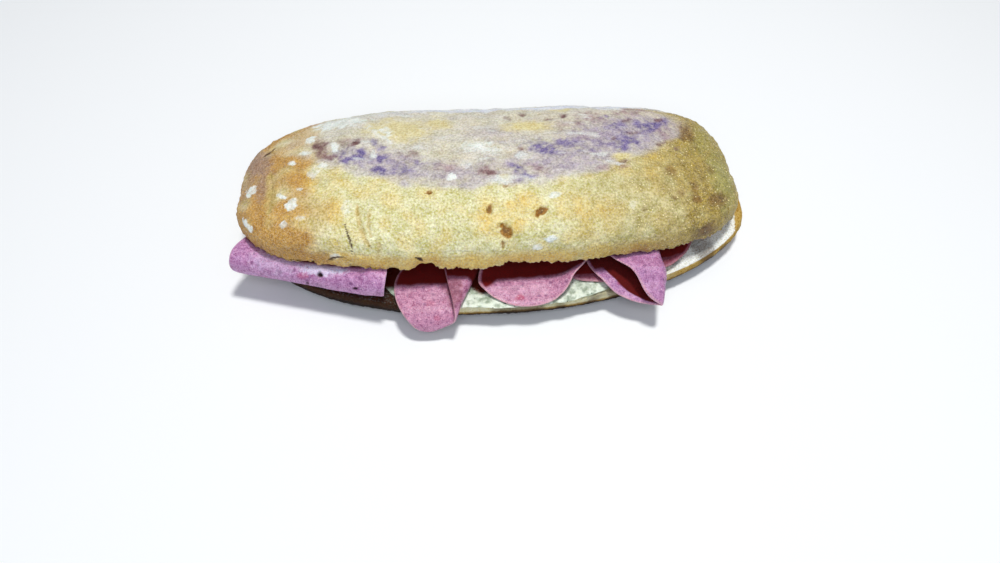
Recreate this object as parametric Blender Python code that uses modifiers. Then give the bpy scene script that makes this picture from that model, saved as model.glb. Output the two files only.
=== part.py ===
"""Salami sandwich: a long flat white loaf slit lengthwise, spread, and filled with folded salami slices.

The sandwich lies with its length along X and its open side towards -Y. All sizes below are in
millimetres in the loaf's own frame, and placed() turns them to metres about the middle of the whole.
"""

import math
from dataclasses import dataclass

import bmesh
import bpy
from mathutils import Vector, noise

MM = 0.001
CLEARANCE = 0.35

# Middle of the whole sandwich's box in the loaf's frame, which becomes the origin.
MIDDLE_X = -1.66
MIDDLE_Y = 2.73

# Loaf: the plane of each half's cut, and how thick each half is.
LOWER_CUT_FRONT = 12.0
LOWER_CUT_SLOPE = 0.028
UPPER_CUT_FRONT = 27.0
UPPER_CUT_SLOPE = 0.115
UPPER_FRONT_Y = -38.0
LOWER_FRONT_Y = -50.0
CROWN_HEIGHT = 28.0
CROWN_TURN = math.radians(97.0)
CUT_ARCH = 6.0
SIDE_TURN = math.radians(108.0)
SIDE_RADIUS = 12.0
RIGHT_SIDE_EXTRA = 9.0

# Where the upper half droops at its right end, towards the front, and where its left end lifts.
RIGHT_END_DROOP = 5.0
DROOP_FROM_TO_X = (50.0, 115.0)
DROOP_FROM_TO_Y = (58.0, -2.0)
LEFT_END_LIFT = 1.2
LIFT_FROM_TO_X = (-20.0, -100.0)

# Powers that make the dome fuller than a ball and flatter on top, and that crowd its rings together.
CROWN_SPACING = 0.9
CROWN_FULLNESS = 0.9
CROWN_FLATNESS = 0.8
CUT_SPACING = 1.6
CUT_ARCH_POWER = 6
BOTTOM_CUT_SPACING = 1.5

# Relief of the bread.
LUMP_HEIGHT = 1.3
LUMP_WIDTH = 34.0
LUMP_FADE = 6
SIDE_LUMP_HEIGHT = 0.6
SIDE_LUMP_WIDTH = 0.6 * LUMP_WIDTH
CRUMB_RELIEF = 0.5
CRUMB_WIDTH = 11.0

# Torn front rim: how deep and wide its tears are, how near the rim they lie, how far they draw it in.
TORN_DEPTH = 1.5
TORN_WIDTH = 9.0
FINE_TORN_SHARE = 0.5
FINE_TORN_WIDTH = 0.45 * TORN_WIDTH
TORN_FROM_TO_Y = (10.0, -10.0)
TORN_POWER = 12
TORN_PULL = 45.0

# Filling: the spread and its wavy rim, a slice's thickness, and how far one layer lies above the last.
SPREAD_THICKNESS = 1.25
SPREAD_WAVE = 0.035
SPREAD_WAVE_WIDTH = 14.0
SPREAD_SPACING = 0.8
SPREAD_FULLNESS = 0.45
SLICE_THICKNESS = 1.2
LAYER = SLICE_THICKNESS + 0.3

# Mesh fineness.
TOP_SEGMENTS = 128
TOP_CRUST_RINGS = 13
TOP_CUT_RINGS = 5
BOTTOM_SEGMENTS = 104
BOTTOM_CUT_RINGS = 6
BOTTOM_CRUST_RINGS = 8
BASE_RINGS = 2
BASE_INSET = 0.5
SPREAD_SEGMENTS = 44
SPREAD_RINGS = 8
ACROSS_FOLD = 16
FINE_ACROSS_FOLD = 24
ALONG_FOLD = 10
FLAT_DIVISIONS = 9


def ramp(value, start, end):
    """Ease from 0 to 1 as value goes from start to end."""
    held = min(max((value - start) / (end - start), 0.0), 1.0)
    return held * held * (3.0 - 2.0 * held)


def wave(x, y, width, seed):
    """Smooth unevenness between about -1 and 1, with bumps of this width and the seed's own pattern."""
    return noise.noise(Vector((x / width, y / width, seed)))


def placed(x, y, z):
    """A point of the loaf's frame in metres about the sandwich's middle."""
    return Vector((x - MIDDLE_X, y - MIDDLE_Y, z)) * MM


@dataclass(frozen=True)
class Outline:
    """Plan of a half loaf: four superellipse quarters about one centre."""

    centre_x: float
    centre_y: float
    left: float
    right: float
    front: float
    back: float
    power_front_left: float
    power_front_right: float
    power_back_left: float
    power_back_right: float

    def rim(self, angle):
        """Plan offset of the rim from the centre at an angle."""
        across = math.cos(angle)
        along = math.sin(angle)
        reach_x = self.right if across > 0.0 else self.left
        reach_y = self.back if along > 0.0 else self.front
        if along < 0.0:
            power = self.power_front_right if across > 0.0 else self.power_front_left
        else:
            power = self.power_back_right if across > 0.0 else self.power_back_left
        spread = (abs(across) ** power + abs(along) ** power) ** (-1.0 / power)
        return spread * reach_x * across, spread * reach_y * along


TOP_PLAN = Outline(-3.0, 6.0, 120.5, 119.5, 44.8, 58.0, 3.0, 2.5, 3.2, 4.2)
BOTTOM_PLAN = Outline(1.0, 2.0, 120.0, 122.0, 53.0, 52.5, 2.1, 1.85, 3.0, 3.4)
SPREAD_PLAN = Outline(-2.0, -14.0, 60.0, 60.0, 37.3, 34.0, 3.2, 3.2, 2.4, 2.4)


def lower_cut(x, y):
    """Height of the lower half's cut face."""
    crumb = CRUMB_RELIEF * wave(x, y, CRUMB_WIDTH, 3.1)
    return LOWER_CUT_FRONT + LOWER_CUT_SLOPE * (y - LOWER_FRONT_Y) + crumb


def upper_cut(x, y):
    """Height of the plane on which the upper half's rim lies, gaping at the front."""
    plane = UPPER_CUT_FRONT - UPPER_CUT_SLOPE * (y - UPPER_FRONT_Y)
    droop = RIGHT_END_DROOP * ramp(x, *DROOP_FROM_TO_X) * ramp(y, *DROOP_FROM_TO_Y)
    return plane - droop + LEFT_END_LIFT * ramp(x, *LIFT_FROM_TO_X)


def torn(x, y):
    """How far the torn front rim of the upper half is drawn back, 0 to about 1."""
    coarse = abs(wave(x, y, TORN_WIDTH, 7.7))
    fine = abs(wave(x, y, FINE_TORN_WIDTH, 2.2))
    return ramp(y, *TORN_FROM_TO_Y) * (coarse + FINE_TORN_SHARE * fine)


def top_crust_point(angle, share):
    """Point of the upper crust, share 0 at the crown and 1 at the rim."""
    turn = CROWN_TURN * share ** CROWN_SPACING
    rim_x, rim_y = TOP_PLAN.rim(angle)
    radial = abs(math.sin(turn)) ** CROWN_FULLNESS
    x = TOP_PLAN.centre_x + rim_x * radial
    y = TOP_PLAN.centre_y + rim_y * radial
    rise = math.copysign(abs(math.cos(turn)) ** CROWN_FLATNESS, math.cos(turn))
    rim_rise = -abs(math.cos(CROWN_TURN)) ** CROWN_FLATNESS
    height = CROWN_HEIGHT * (rise - rim_rise) / (1.0 - rim_rise)
    lump = LUMP_HEIGHT * wave(x, y, LUMP_WIDTH, 1.4) * (1.0 - share ** LUMP_FADE)
    tear = TORN_DEPTH * torn(x, y) * share ** TORN_POWER
    pull = 1.0 - tear / TORN_PULL
    x = TOP_PLAN.centre_x + rim_x * radial * pull
    y = TOP_PLAN.centre_y + rim_y * radial * pull
    return x, y, upper_cut(x, y) + height + lump + tear


def top_cut_point(angle, share):
    """Point of the upper half's cut face, share 1 at the rim and 0 in the middle."""
    rim = top_crust_point(angle, 1.0)
    inset = 1.0 - (1.0 - share) ** CUT_SPACING
    x = TOP_PLAN.centre_x + (rim[0] - TOP_PLAN.centre_x) * inset
    y = TOP_PLAN.centre_y + (rim[1] - TOP_PLAN.centre_y) * inset
    arch = CUT_ARCH * (1.0 - inset ** CUT_ARCH_POWER)
    crumb = CRUMB_RELIEF * wave(x, y, CRUMB_WIDTH, 5.9) * (1.0 - inset)
    edge = (rim[2] - upper_cut(rim[0], rim[1])) * inset ** CUT_ARCH_POWER
    return x, y, upper_cut(x, y) + arch + crumb + edge


def side_radius(angle):
    """How far the lower crust curves in to the flat base, more at the right end."""
    return SIDE_RADIUS + RIGHT_SIDE_EXTRA * max(math.cos(angle), 0.0) ** 3


def bottom_crust_point(angle, turn):
    """Point of the lower crust, turned from the flat base (0) up to the rim (SIDE_TURN)."""
    rim_x, rim_y = BOTTOM_PLAN.rim(angle)
    reach = math.hypot(rim_x, rim_y)
    inset = side_radius(angle) * (1.0 - math.sin(turn))
    x = BOTTOM_PLAN.centre_x + rim_x * (1.0 - inset / reach)
    y = BOTTOM_PLAN.centre_y + rim_y * (1.0 - inset / reach)
    rim_height = lower_cut(x, y)
    lump = SIDE_LUMP_HEIGHT * wave(x, y, SIDE_LUMP_WIDTH, 8.3) * math.sin(turn) ** 2
    pull = 1.0 - lump / reach
    x = BOTTOM_PLAN.centre_x + (x - BOTTOM_PLAN.centre_x) * pull
    y = BOTTOM_PLAN.centre_y + (y - BOTTOM_PLAN.centre_y) * pull
    return x, y, rim_height * (1.0 - math.cos(turn)) / (1.0 - math.cos(SIDE_TURN))


def bottom_cut_point(angle, share):
    """Point of the lower half's cut face, share 0 in the middle and 1 at the rim."""
    rim = bottom_crust_point(angle, SIDE_TURN)
    inset = 1.0 - (1.0 - share) ** BOTTOM_CUT_SPACING
    x = BOTTOM_PLAN.centre_x + (rim[0] - BOTTOM_PLAN.centre_x) * inset
    y = BOTTOM_PLAN.centre_y + (rim[1] - BOTTOM_PLAN.centre_y) * inset
    return x, y, lower_cut(x, y)


def reshaped_sphere(name, segments, rings, place):
    """A UV sphere whose points go where place(angle, ring) says; ring 0 is its upper pole."""
    mesh = bpy.data.meshes.new(name)
    cage = bmesh.new()
    bmesh.ops.create_uvsphere(cage, u_segments=segments, v_segments=rings, radius=1.0)
    for vertex in cage.verts:
        ring = round(math.acos(max(-1.0, min(1.0, vertex.co.z))) / math.pi * rings)
        angle = math.atan2(vertex.co.y, vertex.co.x)
        vertex.co = placed(*place(angle, ring))
    bmesh.ops.recalc_face_normals(cage, faces=cage.faces)
    cage.to_mesh(mesh)
    cage.free()
    mesh.shade_smooth()
    mesh.set_sharp_from_angle(angle=math.radians(40.0))
    return bpy.data.objects.new(name, mesh)


def make_bread_top():
    """Upper half: domed crust over a slightly hollow cut face."""

    def place(angle, ring):
        if ring <= TOP_CRUST_RINGS:
            return top_crust_point(angle, ring / TOP_CRUST_RINGS)
        return top_cut_point(angle, 1.0 - (ring - TOP_CRUST_RINGS) / TOP_CUT_RINGS)

    return reshaped_sphere("bread_top", TOP_SEGMENTS, TOP_CRUST_RINGS + TOP_CUT_RINGS, place)


def make_bread_bottom():
    """Lower half: flat base, rounded side crust and a nearly level cut face."""

    def place(angle, ring):
        if ring <= BOTTOM_CUT_RINGS:
            return bottom_cut_point(angle, ring / BOTTOM_CUT_RINGS)
        share = (ring - BOTTOM_CUT_RINGS) / BOTTOM_CRUST_RINGS
        turning = 1.0 - share * BOTTOM_CRUST_RINGS / (BOTTOM_CRUST_RINGS - BASE_RINGS)
        if turning >= 0.0:
            return bottom_crust_point(angle, SIDE_TURN * turning)
        x, y, z = bottom_crust_point(angle, 0.0)
        inward = BASE_INSET if ring < BOTTOM_CUT_RINGS + BOTTOM_CRUST_RINGS else 0.0
        centre_x = BOTTOM_PLAN.centre_x
        centre_y = BOTTOM_PLAN.centre_y
        return centre_x + (x - centre_x) * inward, centre_y + (y - centre_y) * inward, z

    return reshaped_sphere("bread_bottom", BOTTOM_SEGMENTS, BOTTOM_CUT_RINGS + BOTTOM_CRUST_RINGS, place)


def make_spread():
    """White spread: a thin wavy layer on the lower half that reaches the front rim."""

    def place(angle, ring):
        rim_x, rim_y = SPREAD_PLAN.rim(angle)
        uneven = 1.0 + SPREAD_WAVE * wave(rim_x, rim_y, SPREAD_WAVE_WIDTH, 4.4)
        turn = math.pi * ring / SPREAD_RINGS
        share = math.sin(turn) ** SPREAD_SPACING * uneven
        x = SPREAD_PLAN.centre_x + rim_x * share
        y = SPREAD_PLAN.centre_y + rim_y * share
        upper = 0.5 + 0.5 * math.copysign(abs(math.cos(turn)) ** SPREAD_FULLNESS, math.cos(turn))
        return x, y, lower_cut(x, y) + CLEARANCE + SPREAD_THICKNESS * upper

    return reshaped_sphere("spread", SPREAD_SEGMENTS, SPREAD_RINGS, place)


@dataclass(frozen=True)
class Slice:
    """A slice of salami.

    half_across and half_along are its half-widths across and along its fold, middle_across says how
    far its middle lies from the fold's line, lean slants its oval and taper narrows its front end.
    start_x and start_y are where the middle of the fold's line lies, turn is the line's direction in
    the plan, and radius is the fold's bend. upper_taper narrows the upper leaf's front end further.
    """

    name: str
    half_across: float
    half_along: float
    start_x: float
    start_y: float
    middle_across: float = 0.0
    lean: float = 0.0
    taper: float = 0.0
    turn: float = 0.0
    radius: float = 0.0
    upper_taper: float = 0.0

    def spot(self, across, along):
        """Plan position of a point so far across and along the fold's line, which points to the front."""
        axis_x, axis_y = -math.sin(self.turn), -math.cos(self.turn)
        x = self.start_x + along * axis_x - across * axis_y
        y = self.start_y + along * axis_y + across * axis_x
        return x, y


ROLL = Slice("salami_roll", 35.0, 36.0, -90.0, -30.0, 6.0, turn=math.radians(106.0), radius=6.1)
TONGUE = Slice("salami_tongue", 27.2, 31.9, -18.7, -35.3, -3.5, -11.7, 0.53, math.radians(27.2), 2.4)
ARC = Slice("salami_arc", 31.0, 34.0, 6.0, -18.5, 2.0, radius=18.0)
CONE = Slice("salami_cone", 34.0, 33.0, 67.5, -22.5, 1.5, turn=math.radians(4.0), radius=2.6,
             upper_taper=0.14)
UNDER = Slice("salami_under", 36.0, 36.0, 44.0, -6.0)
RIGHT = Slice("salami_right", 28.0, 34.0, 66.0, -4.0)

# How the filling meets the front rim: where it bends down, and how tightly.
FRONT_EDGE_Y = -49.0
EDGE_BEND = 9.0
LAST_TURN = 1.5

# Share of a folded slice's width over which its upper leaf's narrowing sets in.
UPPER_LEAF_ONSET = 0.25

# The roll: how far its bend lies before the line, how its upper leaf rises, where it climbs the spread.
ROLL_ADVANCE = 8.0
ROLL_OPENING = 0.12
ROLL_CLIMB_FROM_TO_X = (-68.0, -61.0)

# The trough: its flat middle, how it opens to the front left, and the height its sides may reach.
ARC_FLAT = 8.0
ARC_LEFT_RADIUS = 6.0
ARC_LEFT_OPENING = 54.0
ARC_OPENS_FROM_TO_ALONG = (5.0, 22.0)
ARC_SHIFT = 6.5
ARC_SHIFT_FROM_TO_Y = (-43.0, -31.0)
ARC_CEILING = 9.5
ARC_CEILING_Y = -40.0
ARC_CEILING_SLOPE = 0.06
ARC_CLIMB_FROM_TO_Y = (-48.0, -42.0)

# The cone: its bend's radius grows from the back, swells before the tip and tightens at it.
CONE_GROWTH = 0.6
CONE_GROWTH_FROM_TO_ALONG = (-25.0, -5.0)
CONE_SWELL = 1.1
CONE_SWELL_ALONG = 22.0
CONE_SWELL_WIDTH = 7.0
CONE_TIGHTENING = 0.8
CONE_TIGHTENING_FROM_TO_ALONG = (24.0, 33.0)
CONE_LAYERS = 2.0
CONE_CLIMB_FROM_TO_Y = (-50.0, -42.0)


def disc_points(grid_x, grid_y):
    """A square's point (-1 to 1) moved to the unit disc."""
    return grid_x * math.sqrt(1.0 - 0.5 * grid_y ** 2), grid_y * math.sqrt(1.0 - 0.5 * grid_x ** 2)


def folded_sheet(piece, place, across_fold=ACROSS_FOLD, along_fold=ALONG_FOLD):
    """A thin disc laid where place(across, along) says, in millimetres of the flat slice."""
    mesh = bpy.data.meshes.new(piece.name)
    sheet = bmesh.new()
    bmesh.ops.create_grid(sheet, x_segments=across_fold, y_segments=along_fold, size=1.0)
    for vertex in sheet.verts:
        across, along = disc_points(vertex.co.x, vertex.co.y)
        taper = piece.taper + piece.upper_taper * ramp(across, 0.0, UPPER_LEAF_ONSET)
        narrowing = 1.0 - taper * max(along, 0.0) ** 2
        along = piece.half_along * along + piece.lean * across
        across = piece.middle_across + piece.half_across * across * narrowing
        vertex.co = placed(*place(across, along))
    sheet.to_mesh(mesh)
    sheet.free()
    mesh.shade_smooth()
    slice_object = bpy.data.objects.new(piece.name, mesh)
    split = slice_object.modifiers.new("split", "TRIANGULATE")
    split.quad_method = "SHORTEST_DIAGONAL"
    shell = slice_object.modifiers.new("thickness", "SOLIDIFY")
    shell.thickness = SLICE_THICKNESS * MM
    shell.offset = 0.0
    shell.use_even_offset = False
    return slice_object


def hairpin(across, radius, inclination=0.0):
    """Cross-section of a fold: flat up to 0, once round a bend, then back above itself."""
    turn_end = math.pi + inclination
    if across <= 0.0:
        return across, 0.0
    if across < turn_end * radius:
        turn = across / radius
        return radius * math.sin(turn), radius * (1.0 - math.cos(turn))
    rest = across - turn_end * radius
    start = radius * math.sin(turn_end), radius * (1.0 - math.cos(turn_end))
    return start[0] + rest * math.cos(turn_end), start[1] + rest * math.sin(turn_end)


def draped(y, height):
    """Bend what reaches past the front edge down over it; height is above the sheet's middle."""
    beyond = max(FRONT_EDGE_Y - y, 0.0)
    turn = min(beyond / EDGE_BEND, LAST_TURN)
    outer = EDGE_BEND + height
    return max(y, FRONT_EDGE_Y) - outer * math.sin(turn), outer * math.cos(turn) - EDGE_BEND


def bed(x, y, layers=0.0):
    """Height of the middle of a slice that lies on the spread with so many slices under it."""
    held_y = max(y, FRONT_EDGE_Y)
    spread_top = lower_cut(x, held_y) + CLEARANCE + SPREAD_THICKNESS
    return spread_top + CLEARANCE + 0.5 * SLICE_THICKNESS + LAYER * layers


def place_roll(across, along):
    """Folded in half with its bend to the front, along the left part of the front rim."""
    forward, height = hairpin(across + ROLL_ADVANCE, ROLL.radius, ROLL_OPENING)
    x, y = ROLL.spot(forward, -along)
    over_spread = ramp(x, *ROLL_CLIMB_FROM_TO_X)
    base = lower_cut(x, y) + CLEARANCE + 0.5 * SLICE_THICKNESS
    return x, y, base + (SPREAD_THICKNESS + CLEARANCE) * over_spread + height


def place_tongue(across, along):
    """Folded about a line from front to back, its open leaf hanging over the front rim."""
    sideways, height = hairpin(across, TONGUE.radius)
    x, y = TONGUE.spot(sideways, along)
    base = bed(x, y)
    y, z = draped(y, height)
    return x, y, base + z


def place_arc(across, along):
    """A shallow trough, both sides curling up, its front rim just over the edge."""
    left_radius = ARC_LEFT_RADIUS + ARC_LEFT_OPENING * ramp(along, *ARC_OPENS_FROM_TO_ALONG)
    radius = ARC.radius if across > 0.0 else left_radius
    sideways, rise = hairpin(abs(across) - ARC_FLAT, radius)
    x, y = ARC.spot(math.copysign(sideways + ARC_FLAT, across), along)
    x += ARC_SHIFT * ramp(y, *ARC_SHIFT_FROM_TO_Y)
    ceiling = ARC_CEILING - ARC_CEILING_SLOPE * (y - ARC_CEILING_Y)
    rise = ceiling * math.tanh(rise / ceiling)
    base = bed(x, y, ramp(y, *ARC_CLIMB_FROM_TO_Y))
    y, z = draped(y, rise)
    return x, y, base + z


def place_cone(across, along):
    """Folded about a line from front to back into a flat cone that points to the front."""
    swell = CONE_SWELL * math.exp(-((along - CONE_SWELL_ALONG) / CONE_SWELL_WIDTH) ** 2)
    growth = CONE_GROWTH * ramp(along, *CONE_GROWTH_FROM_TO_ALONG)
    tightening = CONE_TIGHTENING * ramp(along, *CONE_TIGHTENING_FROM_TO_ALONG)
    sideways, height = hairpin(across, CONE.radius + growth + swell - tightening)
    x, y = CONE.spot(sideways, along)
    base = bed(x, y, CONE_LAYERS * ramp(y, *CONE_CLIMB_FROM_TO_Y))
    y, z = draped(y, height)
    return x, y, base + z


def place_under(across, along):
    """Lies flat on the spread, seen between the trough and the cone."""
    x, y = UNDER.spot(across, along)
    return x, y, bed(x, y)


def place_right(across, along):
    """Lies flat at the right, on the slice before it."""
    x, y = RIGHT.spot(across, along)
    return x, y, bed(x, y, 1.0)


def material(name, colour, roughness):
    """A plain Principled material."""
    made = bpy.data.materials.new(name)
    made.use_nodes = True
    shader = made.node_tree.nodes["Principled BSDF"]
    shader.inputs["Base Color"].default_value = (*colour, 1.0)
    shader.inputs["Roughness"].default_value = roughness
    return made


def main():
    """Build the sandwich in its own collection."""
    for old in list(bpy.data.objects):
        bpy.data.objects.remove(old, do_unlink=True)
    sandwich = bpy.data.collections.new("salami_sandwich")
    bpy.context.scene.collection.children.link(sandwich)
    crust = (0.62, 0.47, 0.20), 0.75
    cream = (0.72, 0.76, 0.68), 0.35
    meat = (0.60, 0.27, 0.40), 0.4
    pieces = [
        (make_bread_top(), crust),
        (make_bread_bottom(), crust),
        (make_spread(), cream),
        (folded_sheet(ROLL, place_roll), meat),
        (folded_sheet(TONGUE, place_tongue, FINE_ACROSS_FOLD), meat),
        (folded_sheet(ARC, place_arc), meat),
        (folded_sheet(CONE, place_cone, FINE_ACROSS_FOLD), meat),
        (folded_sheet(UNDER, place_under, FLAT_DIVISIONS, FLAT_DIVISIONS), meat),
        (folded_sheet(RIGHT, place_right, FLAT_DIVISIONS, FLAT_DIVISIONS), meat),
    ]
    for piece, (colour, roughness) in pieces:
        piece.data.materials.append(material(f"{piece.name}_finish", colour, roughness))
        sandwich.objects.link(piece)


main()
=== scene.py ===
"""Looks of a salami sandwich: a slit white loaf, a white spread and folded slices of salami.

Shapes are worked out in millimetres in the loaf's own frame, by the same formulas as the solids: X
runs along the loaf, -Y towards its open side and Z up. to_metres() brings them to the frame.
"""

import logging
import math
from collections.abc import Callable, Sequence
from dataclasses import dataclass
from enum import Enum

import bmesh
import bpy
import numpy as np
from mathutils import Matrix, Vector, noise


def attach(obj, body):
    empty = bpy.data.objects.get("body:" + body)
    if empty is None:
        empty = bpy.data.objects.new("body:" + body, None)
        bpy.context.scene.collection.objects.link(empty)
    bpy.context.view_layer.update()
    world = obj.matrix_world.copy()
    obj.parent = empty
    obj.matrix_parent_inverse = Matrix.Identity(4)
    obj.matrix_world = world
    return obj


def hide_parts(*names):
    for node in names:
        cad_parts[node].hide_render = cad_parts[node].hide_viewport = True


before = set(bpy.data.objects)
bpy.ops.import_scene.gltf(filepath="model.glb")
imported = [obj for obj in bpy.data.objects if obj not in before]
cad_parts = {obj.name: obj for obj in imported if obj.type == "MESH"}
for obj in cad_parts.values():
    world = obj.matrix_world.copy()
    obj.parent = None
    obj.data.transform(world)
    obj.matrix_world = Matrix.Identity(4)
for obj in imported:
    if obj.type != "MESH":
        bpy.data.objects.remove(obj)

Array = np.ndarray
Place = tuple[Array, Array, Array]
Span = tuple[float, float]
Surface = Callable[[Array, Array], Place]
Colour = tuple[float, float, float, float]
Socket = bpy.types.NodeSocket
Value = Socket | float | str

LOG = logging.getLogger("salami_sandwich")
MM = 0.001

# The middle of the sandwich's box in the loaf's frame, and the gap that touching pieces keep.
MIDDLE_X = -1.66
MIDDLE_Y = 2.73
CLEARANCE = 0.35

# Loaf: the plane of each half's cut, and the unevenness of its crumb.
LOWER_CUT_FRONT = 12.0
LOWER_CUT_SLOPE = 0.028
LOWER_FRONT_Y = -50.0
UPPER_CUT_FRONT = 27.0
UPPER_CUT_SLOPE = 0.115
UPPER_FRONT_Y = -38.0
RIGHT_END_DROOP = 5.0
DROOP_FROM_TO_X = (50.0, 115.0)
DROOP_FROM_TO_Y = (58.0, -2.0)
LEFT_END_LIFT = 1.2
LIFT_FROM_TO_X = (-20.0, -100.0)
CRUMB_RELIEF = 0.5
CRUMB_WIDTH = 11.0

# Filling: its thicknesses, and the bend over the lower half's front edge, to LAST_TURN radians.
SPREAD_THICKNESS = 1.25
SLICE_THICKNESS = 1.2
LAYER_GAP = 0.3
LAYER = SLICE_THICKNESS + LAYER_GAP
FRONT_EDGE_Y = -49.0
EDGE_BEND = 9.0
LAST_TURN = 1.5

# Meshes: how far apart a sheet's direction is measured, what counts as one point, in millimetres,
# and from which angle an edge shows as sharp.
SHEET_STEP = 0.05
SAME_POINT = 0.001
SHARP_ANGLE = math.radians(62.0)

# How steeply the camera looks down. seen() measures up the loaf square to that.
VIEW_ELEVATION = math.radians(54.57)


def smooth(value: Array) -> Array:
    """Ease from 0 to 1 as value goes from 0 to 1."""
    held = np.clip(value, 0.0, 1.0)
    return held * held * (3.0 - 2.0 * held)


def progress(value: Array, start: float, end: float) -> Array:
    """How far value has come from start, where it is 0, to end, where it is 1."""
    return (value - start) / (end - start)


def ramp(value: Array, start: float, end: float) -> Array:
    """Ease from 0 to 1 as value goes from start to end, whichever is greater."""
    return smooth(progress(value, start, end))


def plan_waves(x: Array, y: Array, width: float, seed: float) -> Array:
    """Smooth unevenness over the plan, about -1 to 1, in bumps of this width; seed picks a pattern."""
    made = [noise.noise((a / width, b / width, seed)) for a, b in zip(np.ravel(x), np.ravel(y))]
    return np.array(made).reshape(np.shape(x))


def waves(points: Array, width: float, seed: float) -> Array:
    """Smooth unevenness in space, about -1 to 1, in bumps of this width; seed picks a pattern."""
    return np.array([noise.noise((a / width, b / width, c / width + seed)) for a, b, c in points])


def ridges(points: Array, width: float, seed: float) -> Array:
    """Creased unevenness from 0 in the creases to about 1, as on a blistered skin."""
    return np.abs(waves(points, width, seed)) * 1.6


def to_metres(points: Array) -> Array:
    """Points of the loaf's frame, in millimetres, brought to the sandwich's frame in metres."""
    return (points - np.array([MIDDLE_X, MIDDLE_Y, 0.0])) * MM


def seen(y: Array, z: Array) -> Array:
    """How far up the loaf a point lies, square to the way it is looked at from its open side."""
    return y * math.sin(VIEW_ELEVATION) + z * math.cos(VIEW_ELEVATION)


def facing(normals: Array) -> Array:
    """How squarely surfaces with these directions face the side that is looked at, at most 1."""
    return normals[:, 2] * math.sin(VIEW_ELEVATION) - normals[:, 1] * math.cos(VIEW_ELEVATION)


def lower_cut(x: Array, y: Array) -> Array:
    """Height of the lower half's cut face."""
    crumb = CRUMB_RELIEF * plan_waves(x, y, CRUMB_WIDTH, 3.1)
    return LOWER_CUT_FRONT + LOWER_CUT_SLOPE * (y - LOWER_FRONT_Y) + crumb


def upper_cut(x: Array, y: Array) -> Array:
    """Find the height of the plane of the upper half's rim, which gapes at the front.

    Args:
        x: positions along the loaf.
        y: positions across it.

    Returns:
        Heights in millimetres.
    """
    plane = UPPER_CUT_FRONT - UPPER_CUT_SLOPE * (y - UPPER_FRONT_Y)
    droop = RIGHT_END_DROOP * ramp(x, *DROOP_FROM_TO_X) * ramp(y, *DROOP_FROM_TO_Y)
    return plane - droop + LEFT_END_LIFT * ramp(x, *LIFT_FROM_TO_X)


@dataclass(frozen=True)
class Outline:
    """Plan of a piece: four superellipse quarters about one centre."""

    centre_x: float
    centre_y: float
    left: float
    right: float
    front: float
    back: float
    power_front_left: float
    power_front_right: float
    power_back_left: float
    power_back_right: float

    def rim(self, angle: Array) -> tuple[Array, Array]:
        """Find the rim.

        Args:
            angle: directions from the centre, in radians.

        Returns:
            The rim's offsets from the centre along X and Y.
        """
        across = np.cos(angle)
        along = np.sin(angle)
        reach_x = np.where(across > 0.0, self.right, self.left)
        reach_y = np.where(along > 0.0, self.back, self.front)
        front = np.where(across > 0.0, self.power_front_right, self.power_front_left)
        back = np.where(across > 0.0, self.power_back_right, self.power_back_left)
        power = np.where(along < 0.0, front, back)
        spread = (np.abs(across) ** power + np.abs(along) ** power) ** (-1.0 / power)
        return spread * reach_x * across, spread * reach_y * along

    def drawn_in(self, x: Array, y: Array, share: Array | float) -> tuple[Array, Array]:
        """Places brought towards the centre, to this share of their distance from it."""
        return self.centre_x + (x - self.centre_x) * share, self.centre_y + (y - self.centre_y) * share


@dataclass(frozen=True)
class Patch:
    """An oval mark in a surface: its place along and up the loaf, half-sizes, slant and strength."""

    x: float
    up: float
    half_long: float
    half_wide: float
    turn: float = 0.0
    strength: float = 1.0

    def core(self) -> "Patch":
        """The darkest part of a pit, towards its back wall, where painted shade darkens it."""
        return Patch(self.x, self.up + 0.25 * self.half_wide, 0.6 * self.half_long, 0.6 * self.half_wide,
                     self.turn, self.strength)

    def reach(self, x: Array, up: Array) -> Array:
        """Measure how far places lie from the middle.

        Args:
            x: positions along the loaf.
            up: positions up it, as seen() gives them.

        Returns:
            Distances, 1 on the oval.
        """
        turn = math.radians(self.turn)
        long = (x - self.x) * math.cos(turn) + (up - self.up) * math.sin(turn)
        wide = (up - self.up) * math.cos(turn) - (x - self.x) * math.sin(turn)
        return np.hypot(long / self.half_long, wide / self.half_wide)


Patches = tuple[Patch, ...]


def ovals(*rows: Sequence[float]) -> Patches:
    """Patches from rows of their numbers, in the order of a patch's fields."""
    return tuple(Patch(*row) for row in rows)


@dataclass(frozen=True)
class Crack:
    """A crack in the crust from one point to another, with a bow in it."""

    start: tuple[float, float]
    end: tuple[float, float]
    width: float
    bow: float = 0.0
    depth: float = 0.8

    def reach(self, x: Array, up: Array, wander: Array) -> Array:
        """Measure how far places lie from the crack's line.

        Args:
            x: positions along the loaf.
            up: positions up it, as seen() gives them.
            wander: how far the line strays at each place, in millimetres.

        Returns:
            Distances, 1 at the crack's edge and large past its ends.
        """
        run_x = self.end[0] - self.start[0]
        run_up = self.end[1] - self.start[1]
        length = math.hypot(run_x, run_up)
        share = ((x - self.start[0]) * run_x + (up - self.start[1]) * run_up) / length ** 2
        off = ((up - self.start[1]) * run_x - (x - self.start[0]) * run_up) / length
        off = off - self.bow * 4.0 * share * (1.0 - share) + wander
        taper = np.sqrt(np.clip(4.0 * share * (1.0 - share), 0.02, 1.0))
        outside = np.maximum(np.abs(share - 0.5) - 0.5, 0.0) * length
        return np.hypot(off, outside) / (self.width * taper)


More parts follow.
